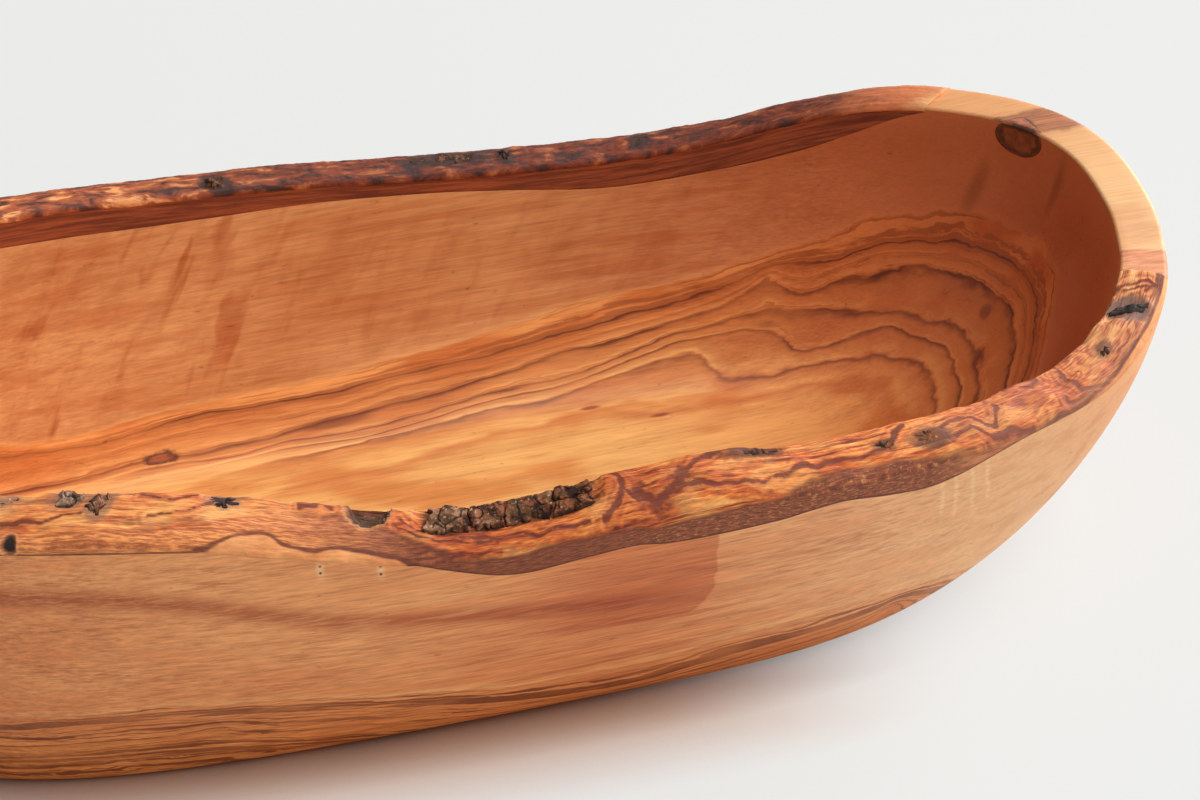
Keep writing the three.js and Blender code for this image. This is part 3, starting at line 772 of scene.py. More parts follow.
# Bark that still clings to the rim: angles, shares across the live edge, thickness, greyness, which is less
# than 0 where the bark is black, and kind
barkPieces = {
    "left_bark_crumb_1": (-130.2, -127.4, 0, 0.34, 2.5, 0.9, "crumb"),
    "left_bark_crumb_2": (-125.3, -123, 0, 0.34, 2.5, 0.8, "crumb"),
    "left_bark_crumb_3": (-122.8, -120.9, 0, 0.6, 2.5, 0.4, "crumb"),
    "front_bark_chip": (-115.1, -113.1, 0, 0.3, 1, -0.7, "spot"),
    "notch_bark": (-106.2, -104.2, 0, 0.34, 2, 0.6, "shell"),
    "notch_bark_small": (-104, -103.2, 0, 0.34, 2, 0.8, "crumb"),
    "front_bark_plate_1": (-100.8, -97.72, 0, 0.6, 4, 0.45, "plate"),
    "front_bark_plate_2": (-97.66, -95.22, 0, 0.6, 4, 0.35, "plate"),
    "front_bark_plate_3": (-95.16, -91.82, 0, 0.6, 4, 0.25, "plate"),
    "front_bark_plate_4": (-91.76, -88.6, 0, 0.32, 4, 0.1, "plate"),
    "front_bark_plate_5": (-91.76, -88.6, 0.335, 0.6, 4, 0.2, "plate"),
    "front_bark_sliver": (-77.1, -72.1, 0, 0.3, 1, -0.4, "spot"),
    "bark_spot_1": (-64.5, -62.8, 0.34, 0.6, 1, 0.1, "spot"),
    "bark_spot_2": (-61.4, -57.9, 0.34, 0.8, 1, 0.1, "spot"),
    "bark_spot_3": (-38.7, -36.5, 0.3, 0.6, 1, 0.1, "spot"),
    "bark_pocket": (-32.2, -27.3, 0, 0.8, 2, -0.8, "smear"),
    "back_bark_flake_1": (71, 73, 0.3, 0.8, 2, -0.5, "flake"),
    "back_bark_flake_2": (84, 85.6, 0.3, 0.8, 2, -0.6, "flake"),
    "back_bark_flake_3": (86.5, 93.5, 0.3, 0.8, 2, -0.4, "flake"),
    "back_bark_flake_4": (107.5, 109.5, 0, 0.6, 2, 0.4, "flake"),
}

# Kinds of bark: squareness of the outline, steepness of the side, raggedness, bend of the outline in degrees,
# height as a share of the thickness, unevenness, grit in millimetres, size of its grain, hollow and slant
barkTraits = ("square", "steep", "ragged", "bend", "high", "uneven", "grit", "grain", "cup", "skew")
barkKinds = {
    "plate": (14, 36, 0.4, 0.4, 0.46, 0.16, 0.7, 4, 0, 0),
    "crumb": (2.6, 3, 0.28, 0.3, 0.5, 0.5, 0.8, 1.3, 0, 0),
    "spot": (2.2, 1.6, 0.5, 0.3, 0.6, 0.3, 0.5, 1.2, 0, 0),
    "flake": (2.4, 2, 0.5, 0.3, 0.45, 0.4, 0.7, 1.6, 0, 0),
    "shell": (2.4, 6, 0.15, 0, 0.4, 0.1, 0.4, 1.4, 0.85, 0),
    "smear": (2.2, 2, 0.3, 0.2, 0.6, 0.3, 0.7, 1.8, 0.3, 0.5),
}
barkKinds = {kind: dict(zip(barkTraits, values)) for kind, values in barkKinds.items()}
bark = {
    "around": 120, "underRows": 5, "topRows": 34, "crowding": 1.6, "sunk": 0.4, "stainSquare": 4,
    "outlineSize": 2.2, "apart": 3.7, "outlineSeed": 60, "raggedGain": 1.4, "raggedShift": 0.5,
    "raggedMost": 1.4, "bendSize": 3.5, "bendSeed": 110, "slabSize": 6, "slabSeed": 120, "gritSeed": 130,
    "steps": 3, "crackSize": 4.5, "crackSeed": 91, "crackWidth": 0.07, "crackDepth": 0.9,
}


# Piece of bark: a patch of the skin, sunk a little, with a broken side and a flaky top in small terraces;
# bend, unevenness and grit run on from one piece to the next
def makeBark(name, order):
    start, end, near, far, thick, grey, kind = barkPieces[name]
    look = barkKinds[kind]
    edge = frontEdge if start < 0 else backEdge
    turn = np.linspace(0, 2 * np.pi, bark["around"], endpoint=False)[None]
    c, s = np.cos(turn), np.sin(turn)
    under = np.linspace(0, 1, bark["underRows"] + 1)[1:]
    upper = 1 - np.linspace(0, 1, bark["topRows"] + 1)[:-1] ** bark["crowding"]
    reach = np.concatenate([under, upper])[:, None]
    onTop = np.arange(len(reach))[:, None] >= len(under)
    n = look["square"]
    square = (np.abs(c) ** n + np.abs(s) ** n) ** (-1 / n)
    loop = np.stack([c, s], -1) * bark["outlineSize"]
    loop = np.concatenate([loop, np.full(loop[..., :1].shape, order * bark["apart"])], -1)
    ragged = bark["raggedGain"] * roughness(loop, 1, 3, bark["outlineSeed"]) - bark["raggedShift"]
    broken = np.maximum(s, 0) if kind == "plate" else 1
    square = square * (1 + look["ragged"] * np.clip(ragged, -bark["raggedMost"], 0) * broken)
    aside, over = reach * square * c, reach * square * s
    aside = aside * (1 - look["skew"]) + over * look["skew"]
    t = (start + end) / 2 + aside * (end - start) / 2
    across = np.clip((near + far) / 2 + over * (far - near) / 2, 0, 1)
    flat = unrolled(arcLength(t), across * skinWidth)
    t = t + look["bend"] * roughness(flat, bark["bendSize"], 2, bark["bendSeed"])
    points = skinPoint(edge, t, across, relief=False)
    profile = np.sqrt(1 - reach ** look["steep"])
    slab = roughness(points, bark["slabSize"], 2, bark["slabSeed"])
    grit = roughness(points, look["grain"], 4, bark["gritSeed"])
    grit = (grit + np.round(grit * bark["steps"]) / bark["steps"]) / 2
    crack = np.abs(roughness(points, bark["crackSize"], 2, bark["crackSeed"] + order))
    grit = grit - bark["crackDepth"] * np.maximum(1 - crack / bark["crackWidth"], 0)
    hollow = look["cup"] * thick * (1 - reach ** 2) ** 2
    lift = thick * (look["high"] + look["uneven"] * slab) * profile - hollow
    lift = lift + look["grit"] * min(thick / 2, 1) * grit * profile
    points[..., 2] += np.where(onTop, lift, 0) - bark["sunk"]
    fields = {"grey": np.full(t.shape, grey), "lift": np.where(onTop, profile, 0), "crack": crack}
    return closedSkin(name + "_piece", points, points[0].mean(0), points[-1].mean(0), fields)


# Marks of the carved wood in millimetres: places and half sizes
woodMarks = {
    "loop": ((-67.9, 40.1, 14.2), (3.6, 1.8, 1.4)),
    "eyes": [((-23.5, 42, 14.5), (11, 2, 1.6)), ((94, 44, 22), (6, 3, 1.6)), ((141, 16, 37), (2, 2, 4))],
    "ticks": [(42.4, 35.5, 10.1), (59.3, 28.8, 9.6)], "tickSize": (2.4, 0.6, 1),
    "endStreaks": [((143, 34.8, 62), (4, 1.3, 9)), ((157.1, 17.9, 71.5), (4, 1.2, 8))],
    "pinholes": [
        (-43.8, -67, 73), (-43.8, -67, 71), (-43.8, -67, 69),
        (-30.9, -67, 70), (-30.9, -67, 68.4), (-30.9, -67, 66),
    ],
    "pinholeSize": (0.32, 4, 0.4), "pinholeEdge": (0.8, 4, 1.8),
    "comb": ((105, -61, 54), (12, 20, 9)), "combAt": [99.5, 103, 107.5, 111.5], "combLean": 0.12,
    "patchRight": 37, "patchLow": 44, "sootSize": (3.2, 4.2, 1.4),
}

# Darkness of the ring lines, by an eighth of the ring number, and colours on screen; stains multiply
# the colour under them
ringDarkness = [
    (0.0, 0.0), (0.05, 0.0), (0.104, 0.05), (0.122, 0.95), (0.144, 0.6), (0.19, 0.45), (0.234, 0.2),
    (0.25, 0.6), (0.28, 0.4), (0.352, 0.15), (0.372, 0.95), (0.4, 0.6), (0.45, 0.4), (0.477, 0.15),
    (0.495, 0.85), (0.525, 0.55), (0.57, 0.3), (0.602, 0.08), (0.62, 0.85), (0.65, 0.5), (0.69, 0.3),
    (0.725, 0.08), (0.745, 0.8), (0.775, 0.45), (0.84, 0.1), (0.872, 0.5), (0.92, 0.2), (1.0, 0.1),
]
carvedColours = {
    "sapPale": (244, 166, 103), "sapDeep": (228, 140, 82), "innerPale": (233, 174, 117),
    "innerDeep": (215, 148, 93), "paintedLightRight": (248, 202, 148), "streak": (208, 158, 130),
    "mottle": (204, 150, 118), "tiger": (206, 140, 104), "flame": (188, 140, 116), "patch": (222, 176, 156),
    "comb": (255, 212, 160), "goldOuter": (242, 170, 100), "goldInner": (246, 190, 114),
    "goldBlotch": (216, 164, 126), "goldEndShade": (240, 198, 176), "ringBrown": (210, 125, 66),
    "ringDark": (112, 52, 28), "rind": (250, 192, 124), "loopDark": (92, 42, 28),
    "loopMiddle": (190, 104, 60), "eye": (120, 58, 30), "tick": (150, 50, 44), "endStreak": (92, 42, 26),
    "pinholeEdge": (255, 214, 160), "pinhole": (60, 32, 22), "endGrainAndShade": (228, 180, 168),
    "creamPale": (236, 188, 134), "creamDeep": (226, 170, 116), "creamBack": (232, 200, 176),
    "creamBlotch": (236, 206, 184), "redDeep": (176, 92, 58), "redPale": (226, 140, 92),
    "blotDeep": (128, 70, 46), "blotPale": (190, 114, 76), "blotLine": (78, 40, 28), "soot": (38, 24, 18),
    "grain": (190, 122, 92),
}


# Carved wood: plain sapwood with fine fibres, striped heartwood inside the heart's edge, a cream sawn rim
def makeCarvedWood():
    material, ink = startMaterial("carved olive wood", carvedColours)
    ring, inside, figure, endMark, knotMark = ink.fields("ring inside figure endMark knotMark")
    place = ink.place()
    x, y, z = (place.axis(name) for name in "XYZ")
    within = inside.step(0.6, 0.9)
    fine = place.cloud(7, 0.42, 0.42, 3.0, 0.6)
    fibre = place.cloud(18, 0.9, 0.9, 4.0, 0.62)
    streak = place.cloud(60, 4, 4)
    broad = place.cloud(90, 26, 26, 2.0, 0.5)
    slanted = ink.make("CombineXYZ", {"X": x - z * 0.5, "Y": y, "Z": z})
    mottle = slanted.cloud(8, 20, 14, 3.0, 0.55, 0.4)

    # Sapwood
    outer = broad.fade(0.3, 0.7, "sapPale", "sapDeep")
    inner = broad.fade(0.3, 0.7, "innerPale", "innerDeep")
    sap = within.between(outer, inner)
    # Painted light: the outer sapwood is lighter towards the right end, where the light falls, and less so at
    # the end itself
    paintedLightRight = x.step(10, 120) * (1 - x.step(125, 165) * 0.6) * (1 - within)
    sap = (paintedLightRight * 0.6).between(sap, "paintedLightRight")
    walls = within * x.drop(70, 125)
    sap = (streak.step(0.46, 0.66) * (0.35 - within * 0.25 + walls * 0.4)).stained(sap, "streak")
    sap = (mottle.step(0.4, 0.75) * walls * 0.35).stained(sap, "mottle")
    tiger = slanted.cloud(7, 40, 22, 2.0, 0.5, 0.5).step(0.54, 0.72) * x.drop(-60, -10) * walls
    sap = (tiger * 0.7).stained(sap, "tiger")
    flame = abs(figure).drop(0.5, 5.0) * fibre.step(0.3, 0.6)
    sap = (flame * (0.9 - x.step(10, 60) * 0.75)).stained(sap, "flame")
    aside, under = (x - woodMarks["patchRight"]).most(0) * 0.125, (woodMarks["patchLow"] - z).most(0) * 0.1
    patch = (aside * aside + under * under + streak.swing(0.5)).drop(0.9, 1.12)
    patch = patch * x.step(-14, 28) * (1 - within) * y.drop(-30, 0)
    sap = (patch * 0.7).stained(sap, "patch")
    combed = place.spot(*woodMarks["comb"], 0.5)
    lean = x + (z - woodMarks["comb"][0][2]) * woodMarks["combLean"] + streak.swing(3)
    for at in woodMarks["combAt"]:
        sap = (abs(lean - at).drop(0.1, 0.9) * combed * 0.4).between(sap, "comb")

    # Heartwood
    number = ring + (place.cloud(24, 7, 7).swing(1.0) + place.cloud(12, 3, 3, 2.0).swing(0.12))
    gold = number.fade(1.0, 5.0, "goldOuter", "goldInner")
    gold = (place.cloud(34, 11, 11, 2.0).step(0.48, 0.68) * 0.7).stained(gold, "goldBlotch")
    # Gold darker towards the right end, partly end grain and partly painted shade, and darker on the outside
    gold = (x.step(50, 120) * 0.4).most((1 - within) * 0.9).stained(gold, "goldEndShade")
    gold = ((1 - within) * number.drop(0.5, 3.5) * 0.8).between(gold, sap)
    bold = ink.make("ValToRGB", {"Fac": number * 0.125}, stops=ringDarkness)
    along = ink.make("CombineXYZ", {"X": number * 4, "Y": streak * 1.2, "Z": broad * 2.0})
    thin = along.cloud(1, 1, 1, 4.0, 0.6).step(0.43, 0.58)
    thin = thin * (1 - within * (0.35 + number.step(3.5, 6.0) * 0.5))
    lines = (bold * (0.6 + within * 0.4)).most(thin)
    faint = number.step(3.3, 3.7) * x.drop(-85, -70)
    faint = faint.most(number.step(4.3, 4.7) * x.drop(-62, -28))
    lines = lines * (1 - faint * within * 0.75)
    fading = (place.cloud(34, 9, 9, 2.0).step(0.3, 0.6) * 0.55 + 0.45) * (0.85 + within * 0.15)
    core = (lines.step(0.0, 0.5) * 0.75).between(gold, "ringBrown")
    core = (lines.step(0.42, 0.95) * fading).between(core, "ringDark")
    inHeart = number.step(-0.12, 0.02)
    rind = number.step(-0.5, -0.08) * (1 - inHeart)
    wood = inHeart.between((rind * 0.4).between(sap, "rind"), core)

    # Small knots, ticks, streaks and wormholes
    blur = place.spot(*woodMarks["loop"], 0.9) + place.cloud(3.4, 1.5, 1.5, 2.0).swing(1.3)
    wood = (blur.step(0.2, 0.6) * 0.9).between(wood, "loopDark")
    wood = (blur.step(0.62, 0.95) * 0.7).between(wood, "loopMiddle")
    for centre, size in woodMarks["eyes"]:
        blur = place.spot(centre, size, 0.7) + fibre.swing(0.8)
        wood = (blur.step(0.35, 1.1) * 0.7).between(wood, "eye")
    for centre in woodMarks["ticks"]:
        wood = (place.spot(centre, woodMarks["tickSize"], 0.5) * 0.8).between(wood, "tick")
    for centre, size in woodMarks["endStreaks"]:
        wood = (place.spot(centre, size, 0.7) * 0.35).between(wood, "endStreak")
    for centre in woodMarks["pinholes"]:
        wood = (place.spot(centre, woodMarks["pinholeEdge"], 0.8) * 0.35).between(wood, "pinholeEdge")
        wood = (place.spot(centre, woodMarks["pinholeSize"], 0.4) * 0.9).between(wood, "pinhole")
    # End grain and painted shade: the inside grows darker and redder towards the right end, where the end
    # wall is in shade
    endGrainAndShade = x.step(15, 135) * within * (1 - inHeart * 0.45)
    wood = endGrainAndShade.stained(wood, "endGrainAndShade")

    # Sawn rim, with the mark at the live edge's end and the blot by the knot
    sawn = (1 - abs(inside - 0.5) * 2).step(0.3, 0.7)
    cream = place.cloud(18, 0.55, 0.55, 3.0, 0.6).fade(0.3, 0.75, "creamPale", "creamDeep")
    cream = (y.step(0, 40) * 0.7).stained(cream, "creamBack")
    cream = (place.cloud(30, 9, 9, 2.0).step(0.45, 0.7) * 0.6).stained(cream, "creamBlotch")
    red = (endMark + place.cloud(12, 0.8, 0.8, 2.0).swing(1.6)).step(-0.3, 0.3)
    cream = (red * 0.75).between(cream, fibre.fade(0.35, 0.65, "redDeep", "redPale"))
    blot = knotMark + place.cloud(6, 4, 4).swing(4)
    brown = fibre.fade(0.35, 0.65, "blotDeep", "blotPale")
    cream = (blot.step(-1.6, 1.2) * 0.85).between(cream, brown)
    cream = (abs(blot - 0.3).drop(0.2, 0.9) * 0.3).between(cream, "blotLine")
    wood = sawn.between(wood, cream)
    soot = place.spot(knotTop(), woodMarks["sootSize"], 0.5) + place.cloud(3, 2, 2, 2.0).swing(0.8)
    wood = (soot.step(0.3, 0.8) * 0.85).between(wood, "soot")

    # Grain: darker where it is below 0, lighter above
    grain = fine.swing(0.9) + fibre.swing(1.15) + streak.swing(1.0)
    grain = grain * (1 - (within * 0.45).most(x.step(70, 140) * 0.78))
    wood = (grain * -1.6).most(0).least(1).stained(wood, "grain")
    wood = wood.scale(1 + grain.most(0) * 0.8)
    finishMaterial(ink, wood, 0.42 + fibre * 0.16, fine + fibre * 0.6, 0.05)
    return material


frontColours = {
    "brown": (120, 46, 25), "rust": (210, 104, 44), "orange": (240, 154, 76), "straw": (255, 208, 136),
    "leftPale": (255, 194, 124), "blotchPale": (255, 186, 106), "blotchDeep": (206, 140, 110),
    "rightPale": (246, 190, 130), "veinSide": (164, 66, 32), "vein": (100, 40, 24),
    "bastDeep": (106, 50, 31), "bastPale": (160, 84, 50), "fleck": (226, 156, 98),
    "leftBastDeep": (186, 98, 54), "leftBastPale": (250, 160, 92),
    "burlDeep": (136, 66, 46), "burlPale": (232, 148, 92), "burlDust": (188, 136, 114),
    "rift": (92, 40, 26), "border": (98, 46, 34), "soot": (84, 42, 28), "sootLeft": (126, 94, 84),
    "sootRight": (78, 66, 64), "notchDeep": (44, 30, 24), "notchPale": (96, 70, 48),
    "notchRim": (240, 180, 112), "hole": (32, 17, 11), "holeRim": (250, 198, 144),
    "innerDeep": (128, 58, 34), "innerPale": (164, 84, 50),
    "sapPale": carvedColours["sapPale"], "sapDeep": carvedColours["sapDeep"],
}


# Front live edge: orange skin with dark veins, fibrous inner bark below it, pale sapwood past the layer
def makeFrontEdgeWood():
    material, ink = startMaterial("front live edge", frontColours)
    arc, below, angle, layer, dark, vein = ink.fields("arc below angle layer dark vein")
    veinAway, inner, hole, barkAway, notch = ink.fields("veinAway inner hole bark notch")
    flat = ink.make("CombineXYZ", {"X": arc, "Y": below})
    burl = angle.step(-61, -52) * angle.drop(-29, -24)
    left = angle.drop(-114, -100)
    fine = flat.cloud(3, 0.3, 1, 3.0, 0.6)
    striae = flat.cloud(20, 0.8, 1, 4.0, 0.62, 0.6)
    blotch = flat.cloud(16, 5, 1, 2.0, 0.5, 0.6)
    swirl = flat.cloud(14, 5, 1, 1.5, 0.5, 1.6)

    # Skin, whose grain curls in the burl and runs beside the veins
    curls = ink.math("SINE", swirl * 34 + striae * 6) * 0.1 + 0.5
    beside = ink.math("SINE", veinAway * 4.2 + blotch * 8) * 0.08 + 0.47
    grain = striae + burl * 0.65 * (curls - striae)
    grain = grain + veinAway.drop(1, 4) * 0.5 * (beside - grain) + fine.swing(0.25)
    orange = grain.fade(0.37, 0.5, "brown", "rust")
    orange = grain.fade(0.48, 0.61, orange, "orange")
    orange = grain.fade(0.6, 0.74, orange, "straw")
    orange = (left * 0.2).between(orange, "leftPale").scale(1 + left * 0.1)
    orange = (blotch.step(0.5, 0.66) * (0.35 + left * 0.25)).between(orange, "blotchPale")
    orange = (blotch.drop(0.34, 0.48) * (0.4 + left * 0.2)).stained(orange, "blotchDeep")
    orange = (angle.step(-44, -30) * grain.step(0.4, 0.6) * 0.6).between(orange, "rightPale")
    marks = vein + flat.cloud(2.4, 0.9, 1).swing(2.4) + flat.cloud(9, 6, 1, 1.0).swing(1.6)
    orange = (marks.step(-1.6, 0.3) * 0.45).between(orange, "veinSide")
    orange = (marks.step(-0.2, 0.6) * 0.82).between(orange, "vein")

    # Inner bark
    fleck = flat.cloud(1.5, 0.5, 1, 3.0, 0.7).step(0.5, 0.7)
    fleck = fleck * (0.12 + angle.step(-92, -80) * 0.55) * (1 - burl * 0.5)
    bast = fine.fade(0.3, 0.7, "bastDeep", "bastPale")
    bast = fleck.between(bast, "fleck")
    leftBast = (fine * 0.5 + striae * 0.5).fade(0.4, 0.62, "leftBastDeep", "leftBastPale")
    bast = left.between(bast, leftBast)
    bast = burl.between(bast, (striae * 0.7 + blotch * 0.3).fade(0.38, 0.6, "burlDeep", "burlPale"))
    edge = dark + flat.cloud(9, 3, 1).swing(1.8) + striae.swing(1.2)
    colour = (edge.step(-0.5, 0.5) * (1 - burl * 0.6)).between(orange, bast)
    rift = abs(edge).drop(0.1, 0.9) * (1 - left) * (1 - burl * 0.5)
    colour = (rift * 0.5).between(colour, "rift")

    # Sapwood past the layer, soot round the bark, the notch, and the beetle's hole, whose dark inside is
    # painted shade
    border = layer + flat.cloud(4, 1.2, 1, 2.0).swing(0.5)
    sap = blotch.fade(0.3, 0.7, "sapPale", "sapDeep")
    colour = border.drop(-0.2, 0.05).between(colour, sap)
    colour = (abs(border - 0.2).drop(0.1, 0.5) * 0.8).between(colour, "border")
    stain = (barkAway + flat.cloud(2.8, 1.6, 1).swing(2.8)).drop(-0.6, 1.0)
    soot = angle.fade(-35, -32.5, left.between("soot", "sootLeft"), "sootRight")
    colour = (stain * (0.85 - left * 0.25)).between(colour, soot)
    notch = notch + flat.cloud(1.6, 1, 1).swing(0.5)
    crumbs = fine.fade(0.3, 0.7, "notchDeep", "notchPale")
    colour = (notch.drop(0.75, 0.95) * 0.9).between(colour, crumbs)
    colour = (abs(notch - 1.04).drop(0.03, 0.14) * 0.25).between(colour, "notchRim")
    colour = (abs(hole - 1.15).drop(0.1, 0.3) * 0.25).between(colour, "holeRim")
    # Painted shade: the beetle's hole is filled near-black, darker than its shallow bore would shade
    colour = hole.drop(0.5, 1.1).between(colour, "hole")
    colour = (burl * 0.2).between(colour, "burlDust")
    colour = inner.between(colour, fine.fade(0.3, 0.7, "innerDeep", "innerPale"))
    colour = colour.scale(1 + fine.swing(0.95))
    relief = fine * 0.6 + striae * 0.6 - marks.step(-0.5, 0.6) * 0.6
    finishMaterial(ink, colour, 0.5 + fine * 0.2, relief, 0.22, 0.35)
    return material


backColours = {
    "scaleDeep": (82, 38, 24), "scaleRed": (174, 88, 48), "scalePale": (246, 170, 106), "crust": (60, 36, 28),
    "stain": (56, 34, 26), "shade": (166, 128, 112), "bareDeep": (190, 98, 58), "barePale": (226, 138, 84),
    "endPale": (238, 176, 118), "bandDeep": (108, 48, 28), "bandPale": (166, 84, 48),
    "outsideDeep": (124, 66, 46), "outsidePale": (176, 104, 68),
}


# Back live edge: flaky skin on top that runs out in bare wood, a smooth dark red band on the face inside
def makeBackEdgeWood():
    material, ink = startMaterial("back live edge", backColours)
    arc, below, inner, barkAway = ink.fields("arc below inner bark")
    flat = ink.make("CombineXYZ", {"X": arc, "Y": below})
    fine = flat.cloud(3, 0.4, 1, 3.0, 0.6)
    striae = flat.cloud(22, 1.2, 1, 4.0, 0.6, 0.5)
    scales = flat.cloud(7, 2.2, 1, 4.0, 0.6, 0.6)
    crust = flat.cloud(12, 2.6, 1, 3.0, 0.6)
    colour = scales.fade(0.36, 0.54, "scaleDeep", "scaleRed")
    colour = scales.fade(0.54, 0.68, colour, "scalePale")
    colour = (crust.step(0.58, 0.66) * 0.8).between(colour, "crust")
    stain = (barkAway + scales.swing(3)).drop(-0.3, 1.4)
    colour = (stain * 0.85).between(colour, "stain")
    colour = (arc.drop(400, 510) * 0.9).stained(colour, "shade")
    bare = (arc + crust.swing(26)).drop(266, 292)
    colour = (bare * 0.9).between(colour, striae.fade(0.3, 0.7, "bareDeep", "barePale"))
    pale = (arc + crust.swing(8) + below * 0.4).drop(252, 260)
    colour = (pale * 0.9).between(colour, "endPale")
    band = striae.fade(0.34, 0.7, "bandDeep", "bandPale")
    colour = (inner + crust.swing(1.2)).fade(0.15, 0.6, colour, band)
    outside = striae.fade(0.3, 0.7, "outsideDeep", "outsidePale")
    colour = below.fade(0.5, 2.0, colour, outside).scale(1 + fine.swing(0.5))
    finishMaterial(ink, colour, 0.5 + fine * 0.2, fine * 0.5 + scales * (1 - inner), 0.3, 0.35)
    return material


barkColours = {
    "deep": (54, 34, 26), "pale": (150, 86, 54), "olive": (126, 98, 66), "blackDeep": (30, 27, 27),
    "blackPale": (92, 84, 82), "ash": (200, 168, 146), "fleck": (216, 178, 150), "crack": (34, 22, 17),
    "side": (54, 32, 23),
}


# Bark: dark brown to black, mottled grey and olive, with pale flecks
def makeBarkFinish():
    material, ink = startMaterial("old bark", barkColours)
    grey, lift, crack = ink.fields("grey lift crack")
    place = ink.place()
    lump = place.cloud(3.2, 2.2, 2.2, 4.0, 0.65)
    patch = place.cloud(5, 4, 4, 2.0, 0.5)
    speck = place.cloud(1.1, 0.8, 0.8, 3.0, 0.6)
    colour = lump.fade(0.4, 0.62, "deep", "pale")
    colour = (patch.step(0.5, 0.62) * 0.4).between(colour, "olive")
    black = lump.fade(0.3, 0.7, "blackDeep", "blackPale")
    colour = (grey * -1).fade(0.0, 0.9, colour, black)
    ash = (lump + grey * 0.25).step(0.58, 0.8) * grey.most(0)
    colour = ash.between(colour, "ash")
    colour = ((speck + grey * 0.06).step(0.62, 0.74) * 0.8).between(colour, "fleck")
    colour = (crack.drop(0.02, 0.1) * 0.85).between(colour, "crack")
    colour = (lift.drop(0.2, 0.9) * 0.8).between(colour, "side")
    finishMaterial(ink, colour, 0.9 - lump * 0.1, lump + speck * 0.4, 0.4, 0.2)
    return material


knotColours = {
    "deep": (118, 58, 33), "pale": (152, 82, 48), "ring": (60, 29, 20), "black": (34, 22, 18),
    "topDeep": (128, 70, 46), "topPale": (184, 110, 74),
}


# Knot: brown inside a ragged dark ring, black at the rim's edge
def makeKnotFinish():
    material, ink = startMaterial("knot wood", knotColours)
    [away] = ink.fields("away")
    place = ink.place()
    z = place.axis("Z")
    away = away + place.cloud(5, 3, 3).swing(0.7)
    figure = place.cloud(3, 1.2, 3, 3.0, 0.6)
    colour = figure.fade(0.35, 0.65, "deep", "pale")
    loop = abs(away - 0.84).drop(0.03, 0.24) * (place.cloud(4, 4, 4, 1.0).step(0.35, 0.6) * 0.5 + 0.5)
    colour = (loop * 0.85).between(colour, "ring")
    black = (z + figure.swing(2)).step(*knot["blackBetween"]) * abs(away - 0.4).drop(0.2, 0.6)
    colour = (black * 0.9).between(colour, "black")
    top = figure.fade(0.35, 0.65, "topDeep", "topPale")
    colour = z.fade(*knot["topBetween"], colour, top)
    finishMaterial(ink, colour, 0.45 + figure * 0.1, figure, 0.05)
    return material


# Floor with its painted shadow colours, backdrop light and lamps in metres: soft light from the upper right
# and behind
stage = {
    "floorHalf": 6.0, "floorColour": (211, 214, 214), "floorSeen": (241, 241, 239), "seenShare": 0.68,
    "contact": 0.013, "contactShadowColour": (124, 72, 40), "shade": 0.029, "shadeColour": (198, 138, 78),
    "litFrom": -0.04, "litTo": 0.11, "worldColour": (242, 242, 241), "worldLevel": 0.21,
    "lampSize": 2.8, "lampColour": (1.0, 0.995, 0.985),
    "lamps": {
        "low window": {"at": (3.74, 2.17, 1.24), "watts": 190},
        "high window": {"at": (2.18, -0.58, 3.9), "watts": 174},
        "fill": {"at": (2.18, -3.74, 1.24), "watts": 40},
    },
}


# Painted shadow on the floor: it darkens and warms close to the bowl, except on its lit side, and is seen
# nearly white where it is clear
def makeFloor():
    half = stage["floorHalf"]
    corners = [(-half, -half, 0), (half, -half, 0), (half, half, 0), (-half, half, 0)]
    mesh = bpy.data.meshes.new("floor")
    mesh.from_pydata(corners, [], [(0, 1, 2, 3)])
    floor = addObject("floor", mesh)
    material, ink = startMaterial("pale floor", stage)
    lit = ink.make("TexCoord", out="Object").axis("X").step(stage["litFrom"], stage["litTo"])
    clear, around = (ink.make("AmbientOcclusion", {"Distance": stage[reach]}, "AO", samples=8)
                     for reach in ("contact", "shade"))
    clear = clear.most(lit * lit)
    around = around.most(lit)
    around = around * around
    # Painted contact shadow and shade: darker and warmer where the bowl hems the floor in
    paper = clear.between("contactShadowColour", around.between("shadeColour", "floorColour"))
    paper = ink.make("BsdfPrincipled", {"Base Color": paper, "Roughness": 0.7, "Specular IOR Level": 0.2})
    glow = ink.make("Emission", {"Color": "floorSeen", "Strength": 1.0})
    share = ink.make("LightPath", out="Is Camera Ray") * clear * around * stage["seenShare"]
    paper = ink.make("MixShader", {"Fac": share, "Shader": paper, "Shader_001": glow})
    ink.make("OutputMaterial", {"Surface": paper})
    floor.data.materials.append(material)


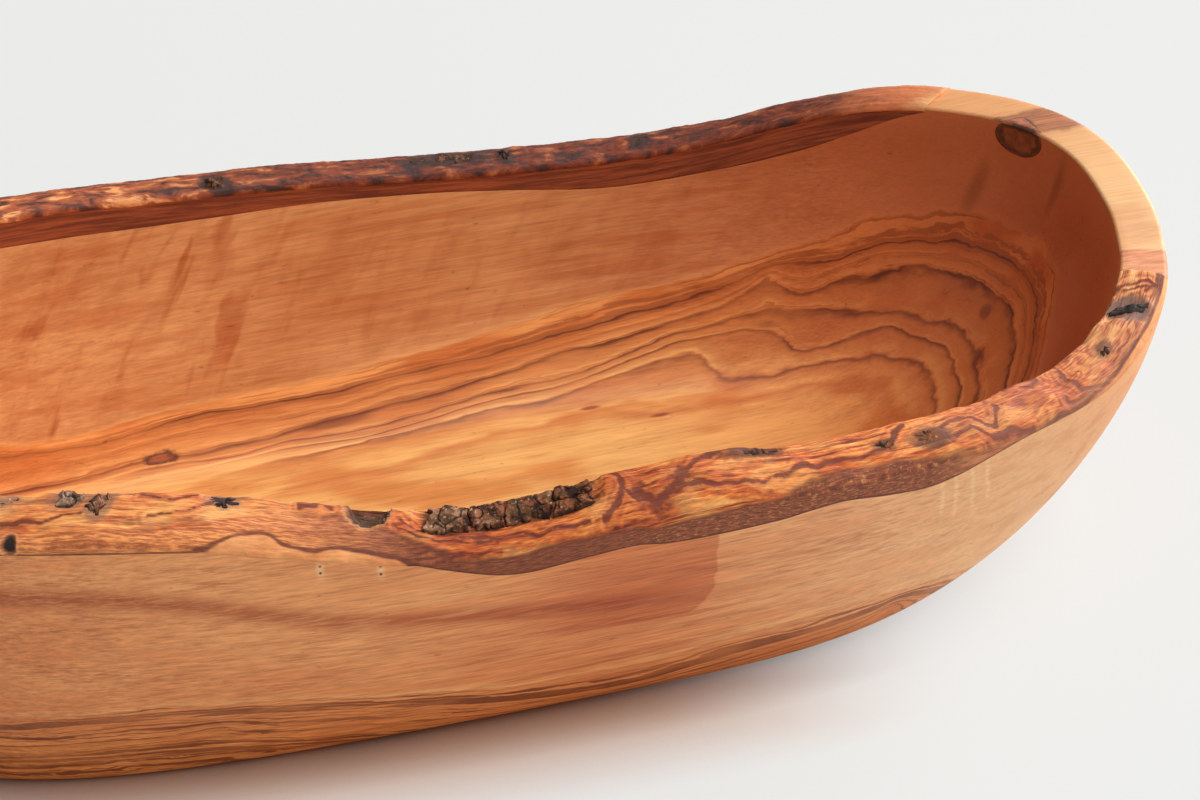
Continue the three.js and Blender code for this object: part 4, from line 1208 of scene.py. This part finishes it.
def makeLight():
    world = bpy.data.worlds.new("soft room")
    bpy.context.scene.world = world
    ink = startNodes(world, stage)
    camera, glossy, through = (ink.make("LightPath", out="Is " + ray + " Ray")
                               for ray in ("Camera", "Glossy", "Transmission"))
    level = stage["worldLevel"] + camera.most(glossy).most(through) * (1 - stage["worldLevel"])
    light = ink.make("Background", {"Color": "worldColour", "Strength": level})
    ink.make("OutputWorld", {"Surface": light})
    for name, lamp in stage["lamps"].items():
        light = bpy.data.lights.new(name, "AREA")
        light.size, light.energy, light.color = stage["lampSize"], lamp["watts"], stage["lampColour"]
        holder = addObject(name, light)
        holder.location = lamp["at"]
        holder.rotation_euler = (-Vector(lamp["at"])).to_track_quat("-Z", "Y").to_euler()
        holder.visible_camera = False


# Camera: degrees round from the front and above the table, millimetres from the point it looks at
lens = {
    "azimuth": -14.85, "elevation": 41, "distance": 723.8, "target": (39.8, 15.7, 30),
    "pixels": 2914, "width": 1200, "sensor": 36, "nearest": 0.01,
}


def makeCamera():
    a, e = np.radians(lens["azimuth"]), np.radians(lens["elevation"])
    back = Vector((np.sin(a) * np.cos(e), -np.cos(a) * np.cos(e), np.sin(e)))
    right = Vector((0, 0, 1)).cross(back).normalized()
    up = back.cross(right)
    data = bpy.data.cameras.new("camera")
    data.sensor_width = lens["sensor"]
    data.lens = lens["pixels"] / lens["width"] * lens["sensor"]
    data.clip_start = lens["nearest"]
    camera = addObject("camera", data)
    spot = (Vector(lens["target"]) + back * lens["distance"]) * mm
    camera.matrix_world = Matrix.Translation(spot) @ Matrix((right, up, back)).transposed().to_4x4()
    bpy.context.scene.camera = camera


makeCamera()
makeFloor()
makeLight()
print("camera and stage ready")
settle(makeCarvedBowl(), makeCarvedWood(), "carved_wood", "bowl_body")
settle(makeKnot(), makeKnotFinish(), "knot_wood", "end_knot")
settle(makeLiveEdge("front_edge", frontEdge), makeFrontEdgeWood(), "live_edge", "front_live_edge")
settle(makeLiveEdge("back_edge", backEdge), makeBackEdgeWood(), "live_edge", "back_live_edge")
barkFinish = makeBarkFinish()
for order, node in enumerate(barkPieces):
    settle(makeBark(node, order), barkFinish, "bark", node)
print("pieces ready")

bpy.context.scene.view_settings.view_transform = "Standard"
